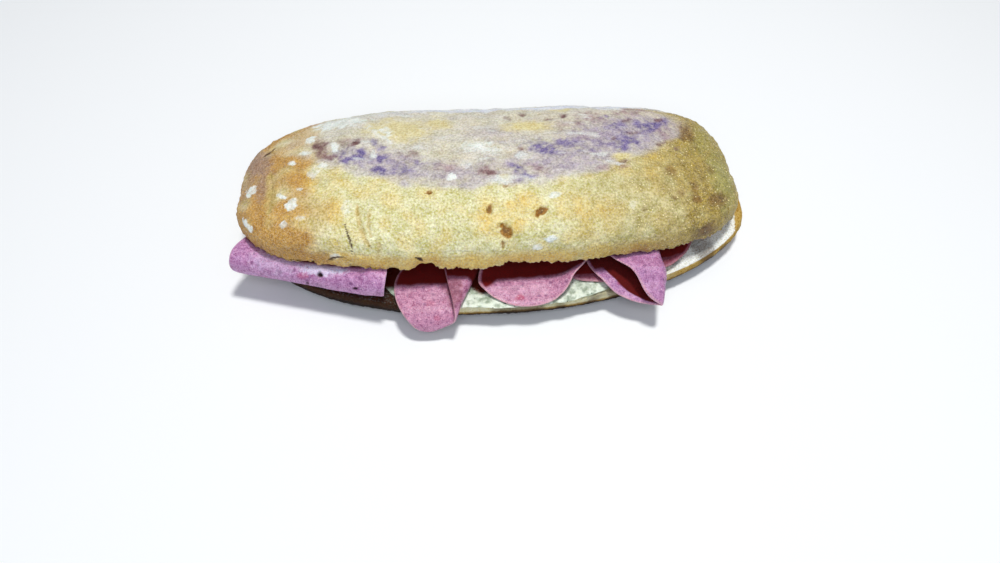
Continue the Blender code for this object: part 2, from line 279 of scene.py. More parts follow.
def covered(patches: Sequence[Patch], x: Array, up: Array, ragged: Array, soft: float) -> Array:
    """Find what lies inside any of the patches.

    Args:
        patches: the patches.
        x: positions along the loaf.
        up: positions up the loaf, as seen() gives them.
        ragged: unevenness added to the patches' edges.
        soft: width of the edge, as a share of a patch.

    Returns:
        0 outside to a patch's strength inside.
    """
    most = np.zeros_like(x)
    for patch in patches:
        inside = smooth((1.0 + ragged - patch.reach(x, up)) / soft + 0.5)
        most = np.maximum(most, patch.strength * inside)
    return most


class Cage:
    """A mesh under construction from square grids bent to discs."""

    def __init__(self) -> None:
        """Start with nothing."""
        self.bm = bmesh.new()
        self.counts: list[int] = []

    def add_disc(self, columns: int, rows: int) -> tuple[Array, Array]:
        """Add a grid.

        Args:
            columns: divisions along X.
            rows: divisions along Y.

        Returns:
            Each new point's place on the unit disc that the grid is bent to.
        """
        before = len(self.bm.verts)
        bmesh.ops.create_grid(self.bm, x_segments=columns, y_segments=rows, size=1.0)
        self.bm.verts.ensure_lookup_table()
        self.counts.append(len(self.bm.verts) - before)
        flat = np.array([vertex.co[:2] for vertex in self.bm.verts[before:]])
        disc_x = flat[:, 0] * np.sqrt(1.0 - 0.5 * flat[:, 1] ** 2)
        disc_y = flat[:, 1] * np.sqrt(1.0 - 0.5 * flat[:, 0] ** 2)
        return disc_x, disc_y

    def place(self, points: Array) -> None:
        """Put all points, in millimetres of the loaf's frame."""
        for vertex, co in zip(self.bm.verts, points):
            vertex.co = co

    def points(self) -> Array:
        """All points, one a row."""
        return np.array([vertex.co[:] for vertex in self.bm.verts])

    def normals(self) -> Array:
        """Measure the surface's direction.

        Returns:
            The direction at each point, one a row.
        """
        bmesh.ops.recalc_face_normals(self.bm, faces=self.bm.faces)
        self.bm.normal_update()
        return np.array([vertex.normal[:] for vertex in self.bm.verts])

    def paint(self, name: str, values: Array) -> None:
        """Keep a value for each point.

        Args:
            name: the name by which the finish reads it.
            values: the values, one for each point.
        """
        layer = self.bm.verts.layers.float.get(name) or self.bm.verts.layers.float.new(name)
        for vertex, value in zip(self.bm.verts, values):
            vertex[layer] = float(value)

    def grow_rings(self, shares: Sequence[float], surface: Surface) -> None:
        """Grow the open rim ring by ring.

        Args:
            shares: how far each ring lies along the surface, in order.
            surface: gives points from the rim point's angle layer and a share.
        """
        angle_layer = self.bm.verts.layers.float["angle"]
        for share in shares:
            edges = [edge for edge in self.bm.edges if edge.is_boundary]
            grown = bmesh.ops.extrude_edge_only(self.bm, edges=edges)["geom"]
            fresh = [item for item in grown if isinstance(item, bmesh.types.BMVert)]
            angles = np.array([vertex[angle_layer] for vertex in fresh])
            x, y, z = surface(angles, np.full_like(angles, share))
            for vertex, co in zip(fresh, np.column_stack((x, y, z))):
                vertex.co = co

    def join_doubles(self) -> None:
        """Join what lies in one place, such as the rims of two discs."""
        bmesh.ops.remove_doubles(self.bm, verts=self.bm.verts, dist=SAME_POINT)

    def close_rim(self) -> None:
        """Draw the last open ring together in one point."""
        ring = [vertex for vertex in self.bm.verts if vertex.is_boundary]
        middle = sum((vertex.co for vertex in ring), Vector()) / len(ring)
        bmesh.ops.pointmerge(self.bm, verts=ring, merge_co=middle)

    def finish(self, name: str, finish: bpy.types.Material) -> bpy.types.Object:
        """Turn the cage into a smooth shown object, in metres of the sandwich's frame.

        Args:
            name: the piece's name.
            finish: its material.

        Returns:
            The piece.
        """
        bmesh.ops.recalc_face_normals(self.bm, faces=self.bm.faces)
        self.place(to_metres(self.points()))
        mesh = bpy.data.meshes.new(name)
        self.bm.to_mesh(mesh)
        self.bm.free()
        mesh.shade_smooth()
        mesh.set_sharp_from_angle(angle=SHARP_ANGLE)
        piece = bpy.data.objects.new(name, mesh)
        bpy.context.scene.collection.objects.link(piece)
        mesh.materials.append(finish)
        return piece


def linear(code: str) -> Colour:
    """Turn an sRGB colour to linear light.

    Args:
        code: the colour as a hex value, such as "#d9bd62".

    Returns:
        Red, green, blue and an alpha of 1.
    """
    parts = [int(code[i:i + 2], 16) / 255.0 for i in (1, 3, 5)]
    made = [p / 12.92 if p <= 0.04045 else ((p + 0.055) / 1.055) ** 2.4 for p in parts]
    return made[0], made[1], made[2], 1.0


# A Mix node's inputs by number: how much it takes of the second, the two numbers and the two
# colours. COLOUR_MIX makes it mix the colours.
SHARE = 0
ONE = 2
OTHER = 3
FROM = 6
TO = 7
COLOUR_MIX = {"output": 2, "data_type": "RGBA"}


@dataclass(frozen=True)
class Cloud:
    """Soft unevenness in a finish, with bumps of this width in millimetres."""

    width: float
    detail: float = 2.0
    roughness: float = 0.5

    def inputs(self, place: Socket) -> dict[str, Value]:
        """What a noise texture takes to draw it."""
        scale = 1.0 / self.width
        return {"Vector": place, "Scale": scale, "Detail": self.detail, "Roughness": self.roughness}


@dataclass(frozen=True)
class Dots:
    """Round dots: how far apart their places are, their radius and the share of places with a dot."""

    spacing: float
    radius: float
    share: float


@dataclass(frozen=True)
class Zone:
    """A tint: the painted value that says where it lies, its hollows and heights, and its edge's width."""

    mask: str
    hollow: str
    height: str
    edge: float = 0.5


class Finish:
    """Common ground of the finishes: a material whose patterns are measured in millimetres."""

    def __init__(self, name: str) -> None:
        """Start a material with one Principled shader.

        Args:
            name: the material's name.
        """
        self.made = bpy.data.materials.new(name)
        self.made.use_nodes = True
        self.tree = self.made.node_tree
        self.shader = self.tree.nodes["Principled BSDF"]
        where = self.add("TexCoord", output="Object")
        self.place = self.add("VectorMath", {0: where, "Scale": 1.0 / MM}, operation="SCALE")

    def add(self, kind: str, inputs: Sequence[Value] | dict[int | str, Value] = (), output: int | str = 0,
            **settings: object) -> Socket:
        """Add a node with its settings and links.

        Args:
            kind: the node's type without its ShaderNode prefix.
            inputs: what the inputs take, in order or by their names or numbers: another node's
                output, a number, an sRGB hex colour or the name of a value painted on the mesh.
            output: which of the node's outputs is wanted.
            settings: the node's own properties.

        Returns:
            The wanted output.
        """
        node = self.tree.nodes.new(f"ShaderNode{kind}")
        for name, value in settings.items():
            setattr(node, name, value)
        for key, value in inputs.items() if isinstance(inputs, dict) else enumerate(inputs):
            if isinstance(value, str) and value.startswith("#"):
                value = linear(value)
            elif isinstance(value, str):
                value = self.add("Attribute", output="Fac", attribute_name=value)
            if isinstance(value, bpy.types.NodeSocket):
                self.tree.links.new(value, node.inputs[key])
            else:
                node.inputs[key].default_value = value
        return node.outputs[output]

    def pebbles(self, spacing: float) -> Socket:
        """Draw rounded bumps that lie in no straight rows.

        Args:
            spacing: how far apart they are, in millimetres.

        Returns:
            1 on their tops to 0 between them.
        """
        bend = self.add("TexNoise", {"Vector": self.place, "Scale": 1.0 / spacing, "Detail": 1.0}, "Color")
        moved = self.add("VectorMath", (self.place, bend), operation="ADD")
        cells = self.add("TexVoronoi", {"Vector": moved, "Scale": 1.0 / spacing}, "Distance")
        return self.add("MapRange", (cells, 0.15, 0.75, 1.0, 0.0))

    def dots(self, dots: Dots) -> Socket:
        """Scatter round dots.

        Args:
            dots: their spacing, radius and share.

        Returns:
            1 in a dot, 0 outside.
        """
        cells = {"Vector": self.place, "Scale": 1.0 / dots.spacing}
        distance = self.add("TexVoronoi", cells, "Distance")
        radius = dots.radius / dots.spacing
        near = self.add("MapRange", (distance, 1.2 * radius, 0.6 * radius))
        lot = self.add("SeparateColor", (self.add("TexVoronoi", cells, "Color"),))
        picked = self.add("Math", (lot, dots.share), operation="LESS_THAN")
        return self.add("Math", (near, picked), operation="MULTIPLY")

    def tint(self, colour: Socket, tone: Socket, grain: Socket, zone: Zone) -> Socket:
        """Lay a zone's tint over a colour, with an edge that the grain makes ragged.

        Args:
            colour: the colour so far.
            tone: 0 in the skin's hollows to 1 on its heights.
            grain: the skin's finest unevenness.
            zone: the tint.

        Returns:
            The colour with the tint on it.
        """
        ragged = self.add("MapRange", (grain, 0.0, 1.0, -0.3, 0.3))
        uneven = self.add("Math", (zone.mask, ragged), operation="ADD")
        inside = self.add("MapRange", (uneven, 0.5 - zone.edge, 0.5 + zone.edge))
        tinted = self.add("Mix", {SHARE: tone, FROM: zone.hollow, TO: zone.height}, **COLOUR_MIX)
        return self.add("Mix", {SHARE: inside, FROM: colour, TO: tinted}, **COLOUR_MIX)

    def dress(self, colour: Socket, relief: Socket, depth: float, roughness: Socket) -> None:
        """Give the shader what varies over the surface.

        Args:
            colour: its colour.
            relief: its fine bumps.
            depth: their depth in millimetres.
            roughness: its roughness.
        """
        normal = self.add("Bump", {"Height": relief, "Strength": 1.0, "Distance": depth * MM})
        for name, value in (("Base Color", colour), ("Normal", normal), ("Roughness", roughness)):
            self.tree.links.new(value, self.shader.inputs[name])

    def fill(self, ior: float, weight: float, scatter: tuple[float, float, float]) -> None:
        """Say how light enters the surface and travels under it.

        Args:
            ior: the index of refraction.
            weight: how much of the light travels under the surface.
            scatter: how far it gets in red, green and blue, in millimetres.
        """
        self.shader.inputs["IOR"].default_value = ior
        self.shader.inputs["Subsurface Weight"].default_value = weight
        self.shader.inputs["Subsurface Radius"].default_value = scatter
        self.shader.inputs["Subsurface Scale"].default_value = MM


# How narrow the edge of a mark is that the baking left, against 0.5 for a soft tint.
CRISP_EDGE = 0.35


@dataclass(frozen=True)
class BakedCrust:
    """Baked white-bread crust: a blistered, faintly glossy skin that flour dulls and the oven stains.

    The skin is pebbled with blisters about 1.05 mm apart, and a finer grain of 0.5 mm stands for its
    own roughness, drawn as coarse as the picture can show. Both tint the skin too, pale on their
    heights and yellow in their hollows, which gives the eye its crisp, toasted look. Where the skin
    is bare of flour, small painted highlights lie on the blisters, and where it turns over to its
    back a cool pale band shows flour dust with a painted highlight on it.
    """

    name: str = "baked_crust"
    hollow: str = "#bcb650"
    height: str = "#fdffda"
    # colour of the small painted highlights on the blisters
    painted_glint: str = "#fff4bc"
    zones: tuple[Zone, ...] = (
        Zone("golden", "#d6a634", "#ffe98a"),
        Zone("ochre", "#9e6814", "#e0b050"),
        Zone("tan", "#675206", "#c6ac3e"),
        Zone("olive", "#747226", "#bdb862"),
        Zone("taupe", "#7e5c46", "#bd9c84"),
        Zone("crown", "#a39e95", "#f0eee8"),
        Zone("lilac", "#6b5d7c", "#cabfd2"),
        Zone("mauve", "#74505a", "#bfa0a4"),
        Zone("yellow", "#c8b260", "#f3ecb6"),
        Zone("purple", "#322868", "#8d80b6"),
        Zone("brown", "#462a08", "#906a2a"),
        Zone("scorch", "#46262a", "#8a6262"),
        # flour dust with a cool painted highlight, on the slope that turns to the back
        Zone("dust_and_back_sheen", "#c6cee2", "#eff5ff"),
        Zone("pit", "#5c3806", "#b07c24", CRISP_EDGE),
        Zone("flour", "#cfdcd6", "#fbfefc", CRISP_EDGE),
        Zone("lip", "#b07e6e", "#f0d3c0", CRISP_EDGE),
        # darker tints in the creases, cracks and pit cores: painted shade in these hollows
        Zone("crease", "#a58a3c", "#dcc88a"),
        Zone("crack", "#2e1c0c", "#5d4026", CRISP_EDGE),
    )
    blister: Cloud = Cloud(1.05, 3.0)
    grain: Cloud = Cloud(0.5, 3.0, 0.6)
    mottle: Cloud = Cloud(6.0, 4.0, 0.6)
    painted_glint_dots: Dots = Dots(1.7, 0.38, 0.55)
    depth: float = 0.75
    ior: float = 1.45
    scatter: tuple[float, float, float] = (1.0, 0.6, 0.25)

    def build(self) -> bpy.types.Material:
        """Make the material.

        Returns:
            The crust's material.
        """
        mat = Finish(self.name)
        grain = mat.add("TexNoise", self.grain.inputs(mat.place))
        blister = mat.add("TexNoise", self.blister.inputs(mat.place))
        mottle = mat.add("TexNoise", self.mottle.inputs(mat.place))
        skin = mat.add("Mix", {SHARE: 0.5, ONE: blister, OTHER: grain})
        relief = mat.add("Mix", {SHARE: 0.2, ONE: skin, OTHER: mat.pebbles(self.blister.width)})
        uneven = mat.add("MapRange", (mottle, 0.0, 1.0, -0.15, 0.15))
        mottled = mat.add("Math", (skin, uneven), operation="ADD")
        crisp = mat.add("MapRange", (mottled, 0.36, 0.6))
        flatness = mat.add("MapRange", ("dull", 0.0, 1.0, 0.0, 0.2))
        tone = mat.add("Mix", {SHARE: flatness, ONE: crisp, OTHER: 0.6})
        colour = mat.add("Mix", {SHARE: tone, FROM: self.hollow, TO: self.height}, **COLOUR_MIX)
        for zone in self.zones:
            colour = mat.tint(colour, tone, grain, zone)
        # Painted highlights: small pale spots, mostly on the right; the same spots raise small bumps.
        painted_glints = mat.dots(self.painted_glint_dots)
        shown = mat.add("Math", (painted_glints, "painted_gleam"), operation="MULTIPLY")
        colour = mat.add("Mix", {SHARE: shown, FROM: colour, TO: self.painted_glint}, **COLOUR_MIX)
        bumps = mat.add("Math", (painted_glints, 0.25, relief), operation="MULTIPLY_ADD")
        mat.dress(colour, bumps, self.depth, mat.add("MapRange", ("dull", 0.0, 1.0, 0.42, 0.85)))
        mat.fill(self.ior, 0.08, self.scatter)
        return mat.made


@dataclass(frozen=True)
class CuredMeat:
    """Fine-ground cured pork: pink, moist and a little translucent, with dark and pale flecks.

    Its fat clouds it in patches of 2.2 mm, soft dark blotches of 1.8 mm and flecks of 0.6 mm speckle
    it, and a low roughness with a fine bump and tiny spots of painted highlight make it sparkle. A
    thin pale casing line runs round the rim. A cool painted highlight lies on parts of the roll, its
    holes are painted dark, and painted shade turns the meat dark red under the bread and in folds.
    """

    name: str = "cured_meat"
    lean: str = "#8e4a74"
    pale: str = "#d8a0c0"
    blotch: str = "#6a3468"
    fleck: str = "#4a2050"
    red: str = "#b02a58"
    # small painted highlight spots that make the meat sparkle
    painted_sparkle: str = "#fbe6f2"
    # dark red painted shade, for the meat under the bread and in folds
    painted_shade_colour: str = "#6c0402"
    rim: str = "#dcb2b8"
    # cool painted highlight, where the roll's patches lay it
    painted_sheen: str = "#dfd8f2"
    # the holes' dark: painted shade in small dents
    hole_and_shade: str = "#1c0204"
    fat: Cloud = Cloud(2.2, 4.0, 0.7)
    grain: Cloud = Cloud(0.6)
    # where those painted highlight spots gather
    sparkle_cloud: Cloud = Cloud(7.0)
    blotch_dots: Dots = Dots(3.2, 0.9, 0.45)
    fleck_dots: Dots = Dots(2.1, 0.3, 0.3)
    red_dots: Dots = Dots(8.5, 1.3, 0.35)
    painted_sparkle_dots: Dots = Dots(1.1, 0.28, 0.4)
    casing_line: tuple[float, float] = (0.972, 0.99)
    depth: float = 0.34
    ior: float = 1.42
    scatter: tuple[float, float, float] = (1.6, 0.5, 0.4)

    def build(self) -> bpy.types.Material:
        """Make the material.

        Returns:
            The slice's material.
        """
        mat = Finish(self.name)
        grain = mat.add("TexNoise", self.grain.inputs(mat.place))
        fat = mat.add("TexNoise", self.fat.inputs(mat.place))
        sparkle_cloud = mat.add("TexNoise", self.sparkle_cloud.inputs(mat.place))
        body = mat.add("Mix", {SHARE: 0.45, ONE: fat, OTHER: grain})
        marbling = mat.add("MapRange", (body, 0.34, 0.62))
        colour = mat.add("Mix", {SHARE: marbling, FROM: self.lean, TO: self.pale}, **COLOUR_MIX)
        casing = mat.add("MapRange", ("rim", *self.casing_line))
        # Painted shade: a dark red, a little uneven with the meat's body.
        shade = mat.add("MapRange", (body, 0.3, 0.7, 0.75, 1.0))
        inside = mat.add("Mix", {SHARE: shade, FROM: "#000000", TO: self.painted_shade_colour}, **COLOUR_MIX)
        layers = (
            (mat.dots(self.blotch_dots), mat.add("MapRange", (grain, 0.3, 0.6, 0.2, 0.75)), self.blotch),
            (mat.dots(self.fleck_dots), 0.8, self.fleck),
            (mat.dots(self.red_dots), mat.add("MapRange", (grain, 0.3, 0.6, 0.2, 0.8)), self.red),
            ("blush", 0.6, self.red),
            # cool painted highlight
            ("painted_sheen", mat.add("MapRange", (grain, 0.3, 0.6, 0.45, 0.95)), self.painted_sheen),
            # painted highlight spots, gathered in clouds
            (mat.dots(self.painted_sparkle_dots), mat.add("MapRange", (sparkle_cloud, 0.46, 0.6, 0.0, 0.6)), self.painted_sparkle),
            (casing, mat.add("MapRange", (grain, 0.3, 0.6, 0.2, 0.75)), self.rim),
            # painted shade under the bread and in folds
            ("painted_shade", 1.0, inside),
            # holes: painted shade in small dents
            ("hole_and_shade", 1.0, self.hole_and_shade),
        )
        for place, strength, tint in layers:
            share = mat.add("Math", (place, strength), operation="MULTIPLY")
            colour = mat.add("Mix", {SHARE: share, FROM: colour, TO: tint}, **COLOUR_MIX)
        # painted shade and the holes' painted dark are matt
        dry = mat.add("Math", ("painted_shade", "hole_and_shade"), operation="MAXIMUM")
        moist = mat.add("MapRange", (grain, 0.3, 0.7, 0.2, 0.5))
        mat.dress(colour, body, self.depth, mat.add("Math", (moist, dry), operation="MAXIMUM"))
        mat.fill(self.ior, 0.2, self.scatter)
        return mat.made


@dataclass(frozen=True)
class SoftSpread:
    """Soft white cheese spread: smooth, moist and bright, with a few dark specks of herb.

    It clouds a little over 3 mm, and painted shade turns it dark and reddish where it lies under
    the bread and meat.
    """

    name: str = "soft_cheese_spread"
    white: str = "#dde8da"
    shade: str = "#98a793"
    speck: str = "#232c2b"
    # dark reddish painted shade, under the bread and meat
    painted_shade_colour: str = "#4a1408"
    lumps: Cloud = Cloud(3.0, 4.0)
    herb_dots: Dots = Dots(2.0, 0.36, 0.4)
    depth: float = 0.8
    ior: float = 1.4
    scatter: tuple[float, float, float] = (1.2, 1.1, 0.9)

    def build(self) -> bpy.types.Material:
        """Make the material.

        Returns:
            The spread's material.
        """
        mat = Finish(self.name)
        lumps = mat.add("TexNoise", self.lumps.inputs(mat.place))
        tone = mat.add("MapRange", (lumps, 0.4, 0.6))
        colour = mat.add("Mix", {SHARE: tone, FROM: self.shade, TO: self.white}, **COLOUR_MIX)
        # herb specks, then painted shade
        for share, tint in ((mat.dots(self.herb_dots), self.speck), ("painted_shade", self.painted_shade_colour)):
            colour = mat.add("Mix", {SHARE: share, FROM: colour, TO: tint}, **COLOUR_MIX)
        mat.dress(colour, lumps, self.depth, mat.add("MapRange", (lumps, 0.3, 0.7, 0.26, 0.4)))
        mat.fill(self.ior, 0.3, self.scatter)
        return mat.made


@dataclass(frozen=True)
class CutLoaf:
    """A cut loaf: open white crumb on the cut face and browned crust round it, darker low down.

    The crumb's pores are about 1.1 mm wide, and the crust's grain of 0.8 mm tints it as on the top.
    Painted shade darkens the front low down, the crust under the roll and the cut face under the upper
    half.
    """

    name: str = "cut_loaf"
    crumb: str = "#f6fbf9"
    pore: str = "#dde3d6"
    zones: tuple[Zone, ...] = (
        Zone("toasted", "#b89a58", "#e8dcb0"),
        Zone("crust", "#8f6a20", "#dcbc66", 0.2),
        Zone("cream", "#cdc896", "#f0efd4"),
        Zone("baked", "#6a4012", "#c0924a"),
        # painted shade: dark brown under the roll and in patches on the front, near black low on the front,
        # and dark red on the cut face in the gap under the upper half
        Zone("brown", "#180a04", "#442410"),
        Zone("base", "#080402", "#1e1007"),
        Zone("painted_shade", "#1d0603", "#4e1c0c"),
    )
    grain: Cloud = Cloud(0.8, 3.0)
    mottle: Cloud = Cloud(6.0, 3.0)
    pore_spacing: float = 1.1
    depth: float = 0.6
    ior: float = 1.4
    shine: float = 0.2
    scatter: tuple[float, float, float] = (2.6, 2.4, 2.2)

    def build(self) -> bpy.types.Material:
        """Make the material.

        Returns:
            The lower half's material.
        """
        mat = Finish(self.name)
        grain = mat.add("TexNoise", self.grain.inputs(mat.place))
        mottle = mat.add("TexNoise", self.mottle.inputs(mat.place))
        uneven = mat.add("MapRange", (mottle, 0.0, 1.0, -0.15, 0.15))
        mottled = mat.add("Math", (grain, uneven), operation="ADD")
        tone = mat.add("MapRange", (mottled, 0.3, 0.7))
        pores = mat.add("TexVoronoi", {"Vector": mat.place, "Scale": 1.0 / self.pore_spacing}, "Distance")
        walls = mat.add("MapRange", (pores, 0.1, 0.5))
        colour = mat.add("Mix", {SHARE: walls, FROM: self.pore, TO: self.crumb}, **COLOUR_MIX)
        for zone in self.zones:
            colour = mat.tint(colour, tone, grain, zone)
        mat.dress(colour, grain, self.depth, mat.add("MapRange", (grain, 0.3, 0.7, 0.6, 0.85)))
        mat.fill(self.ior, 0.35, self.scatter)
        mat.shader.inputs["Specular IOR Level"].default_value = self.shine
        return mat.made


@dataclass(frozen=True)
class Tear:
    """A place where the torn front rim is drawn up, or hangs lower for a lift below 0."""

    x: float
    half: float
    lift: float

    def rise(self, x: Array) -> Array:
        """How far the rim is drawn up at each place."""
        return self.lift * smooth(1.35 * (1.0 - np.abs(x - self.x) / self.half))


@dataclass(frozen=True)
class CrustMarks:
    """What the oven and the flour left on the loaf's top, placed as the loaf shows it."""

    stains: Patches = ovals(
        (-67.9, 37.9, 7.0, 3.3, -10, 0.75), (-71.9, 36.1, 1.9, 1.7, -4), (-64.8, 39.8, 2.3, 1.6, -4, 0.95),
        (-55.6, 36.1, 2.3, 1.8, -3, 0.95), (-56.8, 29.9, 2.7, 1.4, -15, 0.9),
        (-46.5, 29.8, 4.0, 1.8, 2, 0.85), (-39.8, 32.1, 2.7, 1.6, 9, 0.9),
        (-57.5, 44.4, 4.4, 1.9, -26, 0.6), (19.0, 37.1, 6.0, 2.3, -9), (27.3, 40.7, 16.2, 2.9, 1, 0.6),
        (5.6, 28.1, 2.7, 2.0, -26, 0.9), (9.0, 23.8, 3.5, 1.8, -37, 0.8), (6.8, 21.0, 2.2, 1.3, -3, 0.7),
        (59.6, 41.2, 6.5, 3.5, 20, 0.9), (76.7, 50.8, 7.8, 2.7, 13, 0.95), (57.9, 50.6, 4.5, 1.7, 12, 0.6),
        (53.7, 56.9, 3.2, 1.6, 0, 0.5), (56.5, 37.2, 3.7, 1.6, 6, 0.75), (39.2, 36.2, 6.9, 1.5, 3, 0.45),
    )
    washes: Patches = ovals(
        (-52.8, 33.8, 23.1, 6.0, -17, 0.75), (-22.9, 27.4, 17.8, 5.3, -7, 0.6),
        (25.3, 31.3, 28.1, 6.5, 2, 0.7), (58.3, 45.3, 29.2, 10.1, 11, 0.9),
        (0.0, 47.0, 14.3, 4.8, -3, 0.35),
    )
    mauves: Patches = ovals(
        (-9.1, 27.1, 4.0, 2.2, -3, 0.9), (-25.9, 29.7, 4.5, 1.8, -3, 0.7), (47.5, 57.0, 7.0, 4.0, -8, 0.7),
        (41.6, 43.7, 7.1, 1.5, 5, 0.6), (50.5, 27.3, 8.0, 2.0, 7, 0.55), (81.7, 48.1, 3.9, 7.2, 1, 0.6),
        (-84.5, 46.5, 2.3, 3.7, 33, 0.9), (-69.7, 46.3, 4.2, 1.9, -3, 0.9),
        (15.3, 26.6, 5.3, 2.2, -14, 0.6), (29.8, 51.6, 9.9, 2.0, 3, 0.5), (69.0, 60.0, 9.6, 3.0, 8, 0.7),
        (-80.0, 39.5, 6.0, 1.5, -16, 0.8),
    )
    golds: Patches = ovals(
        (-92.3, 27.8, 9.0, 3.5, -25, 0.8), (-97.7, 11.4, 9.9, 3.6, 6, 0.7),
        (-78.0, 14.6, 6.1, 7.0, -4, 0.4), (35.1, 8.8, 13.6, 5.4, -2, 0.45),
        (-2.0, 6.0, 14.0, 7.0, 10, 0.5), (72.0, 28.0, 12.0, 7.0, 15, 0.6),
    )
    scorches: Patches = ovals(
        (-73.0, 46.0, 4.9, 2.2, -11, 0.55), (-67.8, 45.6, 2.3, 1.6, -36, 0.95),
        (-85.2, 44.8, 2.4, 3.0, -60, 0.9), (-81.3, 38.9, 5.3, 1.4, -14, 0.6),
        (-41.9, 38.2, 2.8, 1.4, 9, 0.55), (-47.4, 39.0, 1.4, 0.9, -2, 0.5), (33.1, 56.7, 2.0, 1.4, 10),
        (13.2, 59.7, 1.5, 1.0, -4, 0.8), (5.0, 57.4, 2.0, 1.0, -3, 0.5), (25.2, 55.5, 2.0, 0.8, 3, 0.7),
        (38.1, 53.1, 2.1, 1.1, 11, 0.7), (9.2, 38.2, 2.1, 0.8, -3, 0.9), (45.3, 46.3, 3.7, 0.8, 13, 0.7),
        (81.3, 54.1, 2.6, 0.9, 17, 0.7), (64.9, 54.0, 2.4, 0.9, 12, 0.6), (54.3, 42.6, 1.3, 1.0, 0, 0.8),
        (64.8, 46.0, 2.8, 1.0, 6, 0.7), (76.5, 38.9, 2.4, 1.1, 15, 0.7), (85.5, 36.9, 1.7, 1.3, 1, 0.7),
        (54.8, 29.6, 2.4, 0.9, 10, 0.7), (-8.7, 26.6, 3.6, 1.8, -3, 0.6),
    )
    browned: Patches = ovals(
        (94.4, 45.9, 4.1, 5.1, -22, 0.8), (78.0, 24.6, 2.7, 2.7, 1, 0.7), (79.8, 13.1, 2.1, 1.9, 0, 0.6),
        (87.8, 16.1, 2.2, 3.3, 0, 0.6), (87.7, 10.1, 2.5, 1.9, 0, 0.85), (99.6, 10.1, 5.7, 3.2, 12, 0.8),
        (101.3, 25.6, 1.8, 2.5, 2, 0.5), (92.1, -4.4, 5.8, 2.6, 20, 0.95), (75.6, 10.9, 1.3, 1.1, -1, 0.6),
        (59.8, 5.7, 1.4, 1.3, -2, 0.5),
    )
    pits: Patches = ovals(
        (-3.0, -0.9, 2.5, 2.7, 20), (-4.6, -6.4, 1.4, 1.5, 27, 0.75), (13.7, 6.8, 3.0, 1.8, 35),
        (-8.9, 9.4, 1.3, 2.2, -19, 0.85), (-1.3, 19.5, 1.6, 1.2, -2, 0.6), (-35.1, 18.1, 1.3, 0.8, 3),
    )
    yellow: Patches = ovals(
        (13.7, 51.3, 12.1, 3.4, 0, 0.9), (32.1, 63.1, 5.0, 2.5, -4, 0.9), (55.1, 32.4, 4.7, 1.7, 5, 0.9),
        (-48.4, 52.5, 14.3, 6.7, -3, 0.8), (-29.1, 55.3, 6.3, 3.9, -3, 0.8),
        (-1.3, 23.8, 2.7, 1.3, -2, 0.6),
    )
    flour: Patches = ovals(
        (-90.2, 49.0, 2.6, 2.0, 19), (-90.9, 41.7, 2.6, 1.2, 0, 0.8), (-97.2, 36.6, 2.1, 1.4, 11, 0.9),
        (-115.6, 24.6, 2.0, 3.2, -28, 0.9), (-100.1, 20.1, 3.8, 0.9, -31), (-95.0, 16.0, 2.5, 2.6, -5),
        (-98.1, 6.9, 1.6, 1.2, -4, 0.8), (-115.0, 8.0, 3.7, 1.3, -49), (-82.4, 34.4, 2.7, 1.4, 1, 0.6),
        (-86.6, 30.4, 2.8, 2.8, -5, 0.55), (-91.7, 22.8, 1.8, 0.9, -4, 0.6),
        (-90.6, 9.5, 1.8, 1.3, -4, 0.55), (-77.5, 44.1, 1.9, 2.1, -5, 0.95),
        (-70.5, 12.4, 2.2, 4.3, -3, 0.45), (19.9, 14.0, 3.4, 1.3, 6, 0.85), (16.4, -5.4, 3.3, 1.7, 2),
        (10.7, -8.4, 2.4, 1.2, -3, 0.7), (54.8, 8.2, 1.8, 2.2, -33, 0.4), (9.6, 34.0, 3.7, 2.3, -3, 0.6),
        (-10.3, 41.2, 5.6, 1.9, 1, 0.8), (50.0, 29.2, 4.2, 0.9, -13, 0.6),
        (-76.7, 58.8, 11.7, 4.0, 3, 0.9), (-54.5, 50.8, 2.9, 1.6, -38, 0.8),
        (-24.0, 24.9, 2.2, 1.5, -3, 0.95), (-15.0, 40.6, 4.6, 2.3, -3, 0.55),
        (-18.1, 31.4, 3.6, 1.8, -3, 0.5), (-59.7, 38.7, 1.4, 2.3, -3, 0.7), (-5.0, 38.3, 6.5, 1.9, 1, 0.7),
        (-3.3, 22.4, 4.5, 2.2, -2, 0.6), (10.1, 21.8, 3.6, 1.3, -3, 0.4), (-76.6, -7.6, 3.6, 1.0, 8, 0.6),
    )
    olive: Patches = ovals(
        (106.3, 21.4, 6.8, 16.1, -8, 0.9), (102.7, 42.7, 6.2, 10.3, -31, 0.6),
    )
    taupe: Patches = ovals(
        (-114.9, 38.5, 6.6, 8.6, 26, 0.95), (-109.5, 27.2, 4.6, 7.2, -7, 0.75),
        (-118.3, 25.7, 4.8, 8.4, -9, 0.5),
    )
    cracks: tuple[Crack, ...] = (
        Crack((-114.2, 41.8), (-107.4, 47.2), 0.6, 0.4, 1.4),
        Crack((-72.0, 6.4), (-69.4, -8.0), 0.3, 0.7, 0.8),
        Crack((-81.0, -9.4), (-72.8, -8.2), 0.3, 0.5, 0.5),
        Crack((-42.2, -10.0), (-39.0, -11.8), 0.4, 0.4, 0.6),
    )
    creases: tuple[Crack, ...] = (
        Crack((-83.4, 14.0), (-78.8, 7.6), 0.5, 0.4, 0.5),
        Crack((-66.4, 14.0), (-60.9, -6.0), 0.7, -1.2, 0.7),
        Crack((-60.6, 12.0), (-60.2, -1.0), 0.5, -0.9, 0.4),
        Crack((-107.4, 33.0), (-105.6, 12.0), 1.6, 1.2, 0.6),
        Crack((-57.0, -3.0), (-58.4, -9.5), 0.7, 0.3, 0.5),
    )
